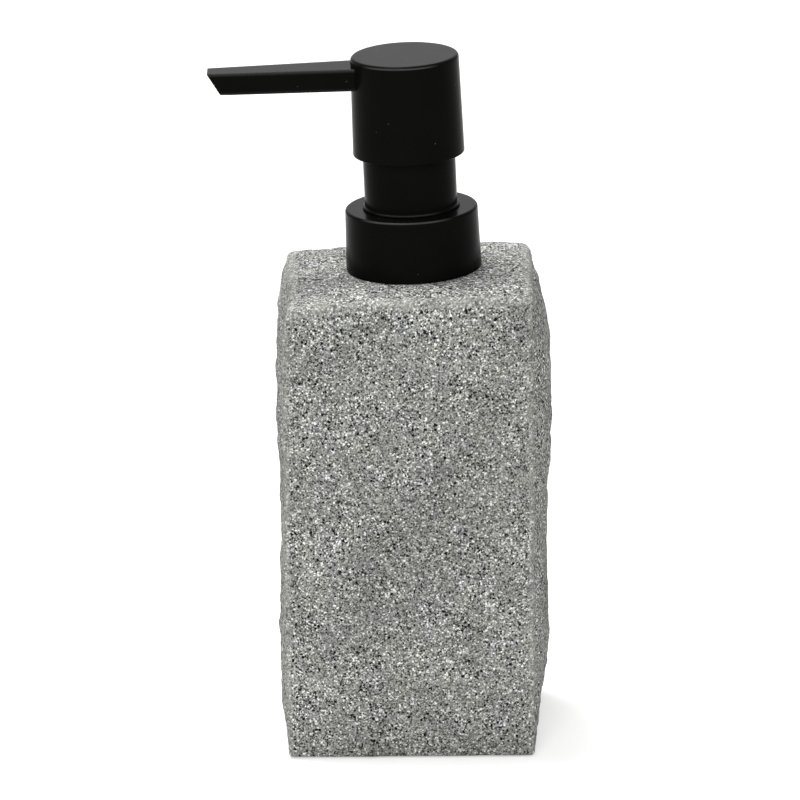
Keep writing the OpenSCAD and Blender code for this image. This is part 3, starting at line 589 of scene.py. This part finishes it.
def clouded_plastic(name, haze_scale, detail, deep, pale, smooth, rough, finish, stretch=None):
    """A milky plastic: one haze, stretched along the piece if it is extruded, blends from the deep colour
    to the pale one and from the smooth roughness to the rough one."""
    plastic, at = new_material(name)
    if stretch:
        at = add_node(plastic, "Mapping", {"Vector": at, "Scale": stretch}).outputs[0]
    haze = add_node(plastic, "TexNoise", {"Vector": at, "Scale": haze_scale, "Detail": detail})
    haze = haze.outputs["Fac"]
    tone = add_node(plastic, "Mix", {0: haze, 6: linear(deep), 7: linear(pale)}, data_type="RGBA")
    gloss = add_node(plastic, "MapRange", {"Value": haze, "To Min": smooth, "To Max": rough})
    return finish_material(plastic, add_node(plastic, "BsdfPrincipled", {
        "Base Color": tone.outputs[2], "Roughness": gloss.outputs[0], **finish}))


white_pp = clouded_plastic(
    "white_moulded_polypropylene", 1 / (4 * mm), 3.0, "#d3d3cc", "#e2e2dd", 0.3, 0.46, {
        "IOR": 1.49, "Subsurface Weight": 0.1, "Subsurface Scale": 1.2 * mm})
add_piece("threaded_neck", [on_seat(neck_grid)], white_pp, "bottle", "white_plastic", "neck_insert")


# ---------------- sealing washer
# A flat washer punched from soft polyethylene, squeezed between the neck's rim and the pump's flange.

gasket_top, gasket_bore_r = 12.6, 10.55
washer_profile = rounded([(gasket_bore_r, neck_top, 0.1), (neck_r, neck_top, 0.15),
                          (neck_r, gasket_top, 0.15), (gasket_bore_r, gasket_top, 0.1)], 3)
soft_pe, at = new_material("soft_punched_polyethylene")
skin = add_node(soft_pe, "TexNoise", {"Vector": at, "Scale": 1 / (0.7 * mm), "Detail": 3.0})
skin_colour = add_node(soft_pe, "Mix", {
    0: skin.outputs["Fac"], 6: linear("#d9d7cb"), 7: linear("#eae8df")}, data_type="RGBA")
skin_bump = add_node(soft_pe, "Bump", {
    "Strength": 0.2, "Distance": 0.05 * mm, "Height": skin.outputs["Fac"]})
finish_material(soft_pe, add_node(soft_pe, "BsdfPrincipled", {
    "Base Color": skin_colour.outputs[2], "Roughness": 0.62, "IOR": 1.51, "Normal": skin_bump.outputs[0]}))
add_piece("sealing_washer", [on_seat(turned(washer_profile))], soft_pe, "washer", "soft_washer", "gasket")


# ---------------- pump housing and guide
# The pump's works are natural polypropylene, milky and slightly see-through, all injection moulded.
# The housing hangs by its flange, and the guide snaps into its mouth and keeps the stem straight.

flange_top, pump_flange_r, barrel_r, barrel_wall = 14.1, 13.2, 6.5, 1.1
barrel_floor, cage_top = -25.9, -24.4
ball_z, ball_r = -29.2, 2.0
ball_room_r, inlet_r, tube_r, running = 2.6, 1.3, 3.0, 0.05
seat_apex = ball_z - (ball_r + running) * math.sqrt(2)
tube_stop = seat_apex + inlet_r - 2.5
socket_r, socket_end = tube_r + running, tube_stop - 10
barrel_out, ball_wall_r = barrel_r + barrel_wall, ball_room_r + barrel_wall
socket_wall_r = socket_r + barrel_wall
housing_profile = rounded([
    (barrel_r, flange_top, 0.1), (pump_flange_r, flange_top, 0.3), (pump_flange_r, gasket_top, 0.2),
    (barrel_out, gasket_top, 0.5), (barrel_out, barrel_floor, 0.5),
    (ball_wall_r + 1, barrel_floor - 1.5, 0.4), (ball_wall_r + 0.5, tube_stop + 1, 0.4),
    (socket_wall_r, tube_stop - 1, 0.4), (socket_wall_r, socket_end, 0.3), (socket_r, socket_end, 0.1),
    (socket_r, tube_stop, 0), (inlet_r, tube_stop, 0.1), (inlet_r, seat_apex + inlet_r, 0.05),
    (ball_room_r, seat_apex + ball_room_r, 0.1), (ball_room_r, barrel_floor, 0.1),
    (barrel_r, barrel_floor, 0)], 4)

stem_r, guide_r, plug_under, plug_r = 3.8, 3.85, 9.1, barrel_r - running
guide_plate_r, guide_plate_top = 10.65, flange_top + 1.5
guide_tube_r, guide_tube_top = guide_r + 1.4, flange_top + 5
guide_profile = rounded([
    (guide_r, plug_under, 0.15), (plug_r, plug_under, 0.25), (plug_r, flange_top, 0),
    (guide_plate_r, flange_top, 0.15), (guide_plate_r, guide_plate_top, 0.25),
    (guide_tube_r, guide_plate_top, 0.3), (guide_tube_r, guide_tube_top, 0.25),
    (guide_r, guide_tube_top, 0.2)], 4)

natural_pp = clouded_plastic(
    "natural_moulded_polypropylene", 1 / (6 * mm), 2.0, "#dcdad0", "#ecebe4", 0.25, 0.4, {
        "IOR": 1.49, "Subsurface Weight": 0.25, "Subsurface Scale": 1.5 * mm})
add_piece("pump_barrel", [on_seat(turned(housing_profile, 96))], natural_pp, "pump_unit", "natural_plastic",
          "pump_housing")
add_piece("stem_guide", [on_seat(turned(guide_profile, 96))], natural_pp, "pump_unit", "natural_plastic",
          "guide_cap")
finish_node("ball_cage", natural_pp)


# ---------------- inlet ball and return spring
# The inlet valve is a polished stainless ball. The spring that lifts the head is wound from 0.9 mm
# stainless wire, with its end turns closed, and stands on the cage over the ball.


def stainless(name, marks_apart, tone, smooth, rough):
    """Stainless steel whose gloss varies over its polishing or drawing marks, this many mm apart."""
    steel, at = new_material(name)
    marks = add_node(steel, "TexNoise", {"Vector": at, "Scale": 1 / (marks_apart * mm), "Detail": 2.0})
    gloss = add_node(steel, "MapRange", {"Value": marks.outputs["Fac"], "To Min": smooth, "To Max": rough})
    return finish_material(steel, add_node(steel, "BsdfPrincipled", {
        "Base Color": linear(tone), "Metallic": 1.0, "Roughness": gloss.outputs[0]}))


finish_node("inlet_ball", stainless("polished_stainless_ball", 0.4, "#c9ccd0", 0.1, 0.2))

wire_r, spring_r, spring_turns, spring_len = 0.45, 4.5, 7, 22.2
spring_rise_mm = spring_len - 2 * wire_r
wire_at = np.linspace(0, 1, spring_turns * 40 + 1)
closed_end, dead_rise = 1 / spring_turns, 2 * wire_r / spring_rise_mm
climb = np.interp(wire_at, [0, closed_end, 1 - closed_end, 1], [0, dead_rise, 1 - dead_rise, 1])
wire_sides = 12
around = np.linspace(0, 2 * np.pi, wire_sides, endpoint=False)
turn_angle = (2 * np.pi * spring_turns * wire_at)[:, None]
wire_out = spring_r + wire_r * np.cos(around)
spring_grid = np.dstack([wire_out * np.cos(turn_angle), wire_out * np.sin(turn_angle),
                         cage_top + wire_r + (spring_rise_mm * climb)[:, None] + wire_r * np.sin(around)])
first_cut, last_cut = (np.repeat(end.mean(1, keepdims=True), wire_sides, 1)
                       for end in (spring_grid[:1], spring_grid[-1:]))
spring_grid = np.concatenate([first_cut, spring_grid, last_cut])

drawn_wire = stainless("drawn_stainless_wire", 0.25, "#b9bcc0", 0.22, 0.38)
spring = add_piece("lift_spring", [on_seat(spring_grid)], drawn_wire, "pump_unit", "spring_steel",
                   "return_spring")
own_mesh(spring)


# ---------------- dip tube
# The dip tube is extruded low-density polyethylene, cloudy and flexible, pushed up into the housing
# and cut on the slant at its foot, so that it can't close itself against the base plate.

tube_bore_r, tube_end = 2.2, -119.6
tube_corners = rounded([(tube_bore_r, tube_end, 0.1), (tube_r, tube_end, 0.1), (tube_r, tube_stop, 0.1),
                        (tube_bore_r, tube_stop, 0.1)], 3)
tube_grid = turned(tube_corners, 64)
at_foot = tube_grid[..., 2] < tube_end + 1
tube_grid[..., 2] += np.where(at_foot, tube_r - tube_grid[..., 0], 0)

cloudy_pe = clouded_plastic(
    "extruded_polyethylene_tube", 1.0, 2.0, "#e3e2db", "#f1f0eb", 0.28, 0.42, {
        "IOR": 1.51, "Transmission Weight": 0.35, "Subsurface Weight": 0.2, "Subsurface Scale": 1.0 * mm},
    stretch=(900.0, 900.0, 40.0))
add_piece("suction_tube", [on_seat(tube_grid)], cloudy_pe, "pump_unit", "clear_tube", "dip_tube")


# ---------------- stem, rod and piston
# The stem slides in the guide, and the rod pressed into its foot carries the valve disc. The piston
# between them is a softer moulding with a flared lip at each end, free to slide a little.

stem_bore_r, stem_tip_r, stem_shoulder, stem_top = 2.0, 3.0, 9.0, 49.9
disc_top, piston_top, port_h = -0.2, 7.75, 1.4
stem_foot = disc_top + port_h
stem_profile = rounded([
    (stem_bore_r, stem_foot, 0.1), (stem_tip_r, stem_foot, 0.1), (stem_tip_r, stem_shoulder, 0.1),
    (stem_r, stem_shoulder, 0.2), (stem_r, stem_top, 0.3), (stem_bore_r, stem_top, 0.2)], 4)
lip_out, lip_len, lip_edge = barrel_r - running, 2.0, 0.5
waist_r, piston_bore_r = lip_out - 0.9, stem_tip_r + running
groove_r, groove_deep = (lip_out + piston_bore_r) / 2, lip_len * 0.6
piston_profile = rounded([
    (piston_bore_r, disc_top, 0.05), (groove_r - lip_edge, disc_top, 0.1),
    (groove_r, disc_top + groove_deep, 0.1), (lip_out - lip_edge, disc_top, 0.05), (lip_out, disc_top, 0.1),
    (lip_out, disc_top + lip_len * 0.5, 0.3), (waist_r, disc_top + lip_len, 0.4),
    (waist_r, piston_top - lip_len, 0.4), (lip_out, piston_top - lip_len * 0.5, 0.3),
    (lip_out, piston_top, 0.1), (lip_out - lip_edge, piston_top, 0.05),
    (groove_r, piston_top - groove_deep, 0.1), (groove_r - lip_edge, piston_top, 0.1),
    (piston_bore_r, piston_top, 0.05)], 3)
add_piece("stem_tube", [on_seat(turned(stem_profile, 80))], natural_pp, "stem_unit", "natural_plastic",
          "stem")
add_piece("piston_seal", [on_seat(turned(piston_profile, 96))], natural_pp, "piston_seal",
          "natural_plastic", "piston")
finish_node("piston_rod", natural_pp)


# ---------------- collar
# The collar that shows is a shell of black ABS from a spark-eroded mould, which leaves it satin matt,
# pressed over a ring of white polypropylene. The ring has the thread, and ribs on it drive the shell.

collar_foot_r, collar_top_r, collar_h, collar_edge = 18.05, 17.65, 16.8, 0.7
collar_wall, collar_plate, collar_hole_r, above_stone = 1.5, 1.6, 11.5, 0.1
collar_in_r = collar_top_r - collar_wall
collar_profile = rounded([
    (collar_in_r, above_stone, 0.1), (collar_foot_r, above_stone, 0.3),
    (collar_top_r, collar_h, collar_edge), (collar_hole_r, collar_h, 0.3),
    (collar_hole_r, collar_h - collar_plate, 0.1), (collar_in_r, collar_h - collar_plate, 0.2)], 8)

black_abs, at = new_material("satin_black_moulded_abs")
grit = add_node(black_abs, "TexNoise", {"Vector": at, "Scale": 1 / (0.16 * mm), "Detail": 1.0})
handling = add_node(black_abs, "TexNoise", {"Vector": at, "Scale": 1 / (9 * mm), "Detail": 3.0})
abs_colour = add_node(black_abs, "Mix", {
    0: handling.outputs["Fac"], 6: linear("#0a0a09"), 7: linear("#0f0f0e")}, data_type="RGBA")
# Specks of stone dust, 0.2 to 0.3 mm across, lie here and there on it.
specks = add_node(black_abs, "TexVoronoi", {"Vector": at, "Scale": 1 / (2.6 * mm)})
speck = add_node(black_abs, "MapRange", {
    "Value": specks.outputs["Distance"], "From Min": 0.07, "From Max": 0.04})
speck_drawn = add_node(black_abs, "SeparateColor", {0: specks.outputs["Color"]})
speck_chosen = add_node(black_abs, "Math", {0: speck_drawn.outputs[0], 1: 0.55}, operation="GREATER_THAN")
speck = add_node(black_abs, "Math", {0: speck.outputs[0], 1: speck_chosen.outputs[0]}, operation="MULTIPLY")
abs_colour = add_node(black_abs, "Mix", {
    0: speck.outputs[0], 6: abs_colour.outputs[2], 7: linear("#585856")}, data_type="RGBA")
abs_rough = add_node(black_abs, "MapRange", {
    "Value": handling.outputs["Fac"], "To Min": 0.2, "To Max": 0.27})
abs_bump = add_node(black_abs, "Bump", {
    "Strength": 0.15, "Distance": 0.02 * mm, "Height": grit.outputs["Fac"]})
# The rims and edges carry a painted highlight: a paler colour there, and a little less roughness.
painted_highlight = add_node(black_abs, "Attribute", attribute_name="painted_highlight")
abs_colour = add_node(black_abs, "Mix", {
    0: painted_highlight.outputs["Fac"], 6: abs_colour.outputs[2], 7: linear("#4c4c4a")}, data_type="RGBA")
abs_rough = add_node(black_abs, "Math", {
    0: painted_highlight.outputs["Fac"], 1: -0.1, 2: abs_rough.outputs[0]}, operation="MULTIPLY_ADD")
finish_material(black_abs, add_node(black_abs, "BsdfPrincipled", {
    "Base Color": abs_colour.outputs[2], "Roughness": abs_rough.outputs[0], "IOR": 1.46,
    "Specular IOR Level": 0.016, "Normal": abs_bump.outputs[0]}))


# The painted highlight's middle lies this many degrees left of the front, and it reaches this many either
# side.
highlight_left, highlight_half = 6, 45


def paint_edge_highlight(piece, ring_r, ring_z, reach, gain):
    """Marks a painted highlight on the skin near the ring (r, z): gain on it, falling to 0 at the reach, and
    round the axis at half the highlight's angle from its middle, which lies a little left of the front."""
    points = np.zeros(len(piece.data.vertices) * 3)
    piece.data.vertices.foreach_get("co", points)
    from_seat = points.reshape(-1, 3) / mm - seat / mm
    x, y, z = from_seat @ seat_right, from_seat @ seat_back, from_seat @ seat_up
    off_middle = np.degrees(np.arctan2(x, -y)) + highlight_left
    near_ring = np.clip(1.2 - 1.2 * np.hypot(np.hypot(x, y) - ring_r, z - ring_z) / reach, 0, 1)
    share = near_ring * np.clip(1.5 - 1.5 * (off_middle / highlight_half) ** 2, 0, 1)
    mark(piece, "painted_highlight", gain * share)


collar_skin = add_piece("collar_skin", [on_seat(turned(finer(collar_profile, 0.5)))], black_abs, "collar",
                        "black_plastic", "collar_shell")
# Painted highlight on the collar's top rim.
paint_edge_highlight(collar_skin, collar_top_r - 0.2, collar_h - 0.2, 0.4, 0.9)

ring_in_r, ring_out_r, ring_foot, ring_under, ring_top = 13.95, 15.45, 0.6, 14.2, 15.2
rib_count, rib_w, rib_slope, rib_tip_r = 24, 1.0, 0.3, 15.85
ring_profile = rounded([
    (ring_in_r, ring_foot, 0.2), (ring_out_r, ring_foot, 0.2), (ring_out_r, ring_top, 0.2),
    (collar_hole_r, ring_top, 0.1), (collar_hole_r, ring_under, 0.1), (ring_in_r, ring_under, 0.2)], 4)
ring_grid = turned(finer(ring_profile, 0.25), 240)
ring_grid = thread(ring_grid, (ring_in_r - 0.15, ring_in_r + 0.15), (ring_foot + 0.8, ring_under - 1.2),
                   thread_start + thread_pitch / 2, 2.0, -thread_height)
ring_r = np.hypot(ring_grid[..., 0], ring_grid[..., 1])
rib_off = (np.arctan2(ring_grid[..., 1], ring_grid[..., 0]) / (2 * np.pi) * rib_count + 0.5) % 1 - 0.5
rib_off = np.abs(rib_off) * 2 * np.pi * ring_out_r / rib_count
rib_rise = np.clip((rib_w / 2 + rib_slope / 2 - rib_off) / rib_slope, 0, 1)
rib_rise = rib_rise * np.clip(ring_grid[..., 2] - ring_foot - 0.8, 0, 1)
rib_rise = np.where((ring_r > ring_out_r - 0.1) & (ring_grid[..., 2] < ring_top - 0.05), rib_rise, 0)
ring_grid[..., :2] *= (1 + rib_rise * (rib_tip_r - ring_out_r) / ring_r)[..., None]
add_piece("thread_ring", [on_seat(ring_grid)], white_pp, "collar", "white_plastic", "threaded_ring")


# ---------------- sleeve
# The fixed sleeve stands on the housing's flange and comes up through the collar. It is the same black
# ABS, with a thin bead where it leaves the collar, and the head slides down over it.

sleeve_r, sleeve_wall, sleeve_top, spigot_r = 12.32, 1.5, 36.5, 11.2
bead_under, bead_top, bead_r = 16.9, 17.5, 12.9
sleeve_profile = rounded([
    (sleeve_r - sleeve_wall, flange_top, 0.1), (spigot_r, flange_top, 0), (spigot_r, bead_under, 0.1),
    (bead_r, bead_under, 0.1), (bead_r, bead_top, 0.3), (sleeve_r, bead_top, 0.2),
    (sleeve_r, sleeve_top, 0.4), (sleeve_r - sleeve_wall, sleeve_top, 0.3)], 6)
sleeve_skin = add_piece("sleeve_skin", [on_seat(turned(finer(sleeve_profile, 0.5)))], black_abs, "pump_unit",
                        "black_plastic", "neck_sleeve")
# Painted highlight on the sleeve's bead.
paint_edge_highlight(sleeve_skin, bead_r - 0.1, bead_top - 0.1, 0.4, 0.5)


# ---------------- head and nozzle
# The head is a black ABS cup over a ribbed white core that grips the stem and turns the flow sideways.
# The nozzle is a separate slim bar, pushed on to the core's spigot through a window in the cup.

head_rim, head_top, head_bore_r, head_rim_r, head_top_r = 31.6, 58.3, 12.75, 14.85, 14.4
roof_under = head_top - 1.6
head_profile = rounded([
    (head_bore_r, roof_under, 0.3), (head_bore_r, head_rim, 0.15), (head_rim_r, head_rim, 0.3),
    (head_top_r, head_top, 0.9), (0, head_top, 0), (0, roof_under, 0)], 8)
head_profile = np.roll(head_profile, 1, 0)

spout_reach, spout_h, spout_mid = 52.5, 5.9, 53.15
spout_w_root, spout_w_tip, spout_mitre = 11.2, 7.2, math.radians(30)
spout_edge, spout_bore_r, spout_root, root_round, mouth_round, mouth_flare = 0.4, 1.5, 8.1, 0.15, 0.25, 0.12
socket_bore_r, socket_len, bore_inset = 2.0, 4.4, 0.3
bar_steps, bar_corner = 10, 4


def bar_width(x):
    """Width of the bar at x from the axis: a straight taper from the cup's wall to the tip."""
    return spout_w_root + (spout_w_tip - spout_w_root) * (x - head_top_r) / (spout_reach - head_top_r)


def bar_ring(x, inset, bore=None):
    """A section of the bar at x from the axis: a rounded rectangle, or the bore at the same angles."""
    quarter = np.linspace(0, np.pi / 2, bar_corner + 1)
    half_w, half_h = bar_width(x) / 2 - inset, spout_h / 2 - inset
    r = max(spout_edge - inset, 0.05)
    corners = []
    for y, z, quarters in ((1, 1, 0), (-1, 1, 1), (-1, -1, 2), (1, -1, 3)):
        a = quarter + quarters * np.pi / 2
        corners.append(np.column_stack([y * (half_w - r) + r * np.cos(a), z * (half_h - r) + r * np.sin(a)]))
    between = np.linspace(0, 1, bar_steps + 2)[1:-1, None]
    outline = np.concatenate([np.concatenate([corner, lerp(corner[-1], after[0], between)])
                              for corner, after in zip(corners, corners[1:] + corners[:1])])
    if bore is not None:
        a = np.arctan2(outline[:, 1], outline[:, 0])
        outline = bore * np.column_stack([np.cos(a), np.sin(a)])
    return outline


def bar_at(x, outline, mitred=0.0):
    """Sets a section in the pump: x back from the mouth's slanting plane where it is mitred."""
    slant = mitred * (spout_h / 2 - outline[:, 1]) * math.tan(spout_mitre)
    return np.column_stack([-(x - slant), outline[:, 0], spout_mid + outline[:, 1]])


# The bar's skin from its root to the mouth, round the mouth's edge, and back along the bore and the socket,
# whose points stand at the angles of the skin's section at the second distance.
bar_sections = [bar_at(spout_root, bar_ring(spout_root, root_round)),
                bar_at(spout_root + root_round, bar_ring(spout_root, 0))]
bar_sections += [bar_at(x, bar_ring(x, 0), mitred)
                 for x, mitred in zip(np.linspace(14, spout_reach - 1, 7), [0] * 6 + [1])]
for a in np.linspace(0, np.pi / 2, 4):
    edge = bar_ring(spout_reach, mouth_round * (1 - math.cos(a)))
    bar_sections.append(bar_at(spout_reach - mouth_round * (1 - math.sin(a)), edge, 1))
for x, like, bore, mitred in ((spout_reach, spout_reach, spout_bore_r + mouth_flare, 1),
                              (spout_reach - mouth_flare, spout_reach, spout_bore_r, 1),
                              (spout_reach - 4, spout_reach, spout_bore_r, 0),
                              (spout_root + socket_len, 20, spout_bore_r, 0),
                              (spout_root + socket_len, 20, socket_bore_r, 0),
                              (spout_root, 20, socket_bore_r, 0)):
    bar_sections.append(bar_at(x, bar_ring(like, bore_inset, bore), mitred))
bar_grid = np.stack(bar_sections)

cup = add_piece("head_cup", [on_seat(turned(finer(head_profile, 0.5)))], black_abs, "head", "black_plastic",
                "head_shell")
window_in, window_out, window_gap = 10, 17, 0.1
window_ring = bar_ring(head_top_r, -window_gap)
window = bpy.data.objects.new("window", mesh_of("window", [on_seat(np.stack([
    bar_at(x, window_ring * s)
    for x, s in ((window_in, 0), (window_in, 1), (window_out, 1), (window_out, 0))]))]))
scene.collection.objects.link(window)
opening = cup.modifiers.new("window", "BOOLEAN")
opening.object, opening.solver = window, "EXACT"
cut_cup = bpy.data.meshes.new_from_object(cup.evaluated_get(bpy.context.evaluated_depsgraph_get()))
cup.modifiers.clear()
cup.data = cut_cup
bpy.data.objects.remove(window)
# Painted highlight on the cup's top rim.
paint_edge_highlight(cup, head_top_r - 0.06, head_top - 0.56, 0.3, 0.85)
nozzle_bar = add_piece("nozzle_bar", [on_seat(bar_grid)], black_abs, "head", "black_plastic", "nozzle")
# The bar's edges carry a painted highlight, brighter on its two upper edges than on its two lower ones.
upper_highlight, lower_highlight = 0.3, 0.2
corner_highlight = np.repeat([upper_highlight, 0] * 2 + [lower_highlight, 0] * 2, [bar_corner + 1, bar_steps] * 4)
corner_highlight = np.tile(corner_highlight, len(bar_grid))
mark(nozzle_bar, "painted_highlight", corner_highlight)
finish_node("head_core", white_pp)


# ---------------- floor and light
# A white table that keeps the bottle's soft shadow, a white surround, and large soft lamps: a key high in
# front, one overhead a little to the left, and a low one behind for the rims of the black pieces.


def seen_by_lens(owner):
    """1 on a path from the lens, straight or by a mirror or through glass, and 0 on any other."""
    paths = add_node(owner, "LightPath").outputs
    seen = paths["Is Camera Ray"]
    for kind in ("Is Glossy Ray", "Is Transmission Ray"):
        seen = add_node(owner, "Math", {0: seen, 1: paths[kind]}, operation="MAXIMUM").outputs[0]
    return seen


table_z, table_half = -0.05 * mm, 5
table_top = bpy.data.meshes.new("table_top")
table_top.from_pydata([(x * table_half, y * table_half, table_z)
                       for x, y in ((-1, -1), (1, -1), (1, 1), (-1, 1))], [], [(0, 1, 2, 3)])
table_piece = bpy.data.objects.new("table_top", table_top)
scene.collection.objects.link(table_piece)
white_table = bpy.data.materials.new("white_table")
white_table.use_nodes = True
white_table.node_tree.nodes.clear()
# The lamps fall off with distance, so the table is lifted more the further it lies from the bottle.
table_at = add_node(white_table, "NewGeometry")
away = add_node(white_table, "VectorMath", {0: table_at.outputs["Position"]}, operation="LENGTH")
raised = add_node(white_table, "MapRange", {
    "Value": away.outputs["Value"], "From Min": 0.4, "From Max": 1.6, "To Min": 0.5, "To Max": 0.85})
lift = add_node(white_table, "Math", {
    0: seen_by_lens(white_table), 1: raised.outputs[0]}, operation="MULTIPLY")
paint = add_node(white_table, "BsdfDiffuse", {"Color": linear("#ececea")})
glow = add_node(white_table, "Emission", {"Strength": lift.outputs[0]})
finish_material(white_table, add_node(white_table, "AddShader", {0: paint.outputs[0], 1: glow.outputs[0]}))
table_top.materials.append(white_table)

world = bpy.data.worlds.new("white_surround")
scene.world = world
world.use_nodes = True
world.node_tree.nodes.clear()
soft_level = 0.31
level = add_node(world, "MapRange", {"Value": seen_by_lens(world), "To Min": soft_level, "To Max": 1.0})
surround = add_node(world, "Background", {"Color": (1.0, 1.0, 1.0, 1.0), "Strength": level.outputs[0]})
add_node(world, "OutputWorld", {"Surface": surround.outputs[0]})

aim = Vector((0, 0, 0.08))
for name, place, size, watts in (("key_lamp", (-0.08, -1.45, 1.15), 0.9, 14.1),
                                 ("top_lamp", (-0.24, 0.17, 1.3), 0.4, 13.5),
                                 ("back_lamp", (0.0, 1.6, 0.6), 1.0, 2.0)):
    lamp = bpy.data.objects.new(name, bpy.data.lights.new(name, "AREA"))
    lamp.data.size, lamp.data.energy = size, watts
    lamp.location = place
    lamp.rotation_mode = "QUATERNION"
    lamp.rotation_quaternion = (aim - Vector(place)).to_track_quat("-Z", "Y")
    scene.collection.objects.link(lamp)
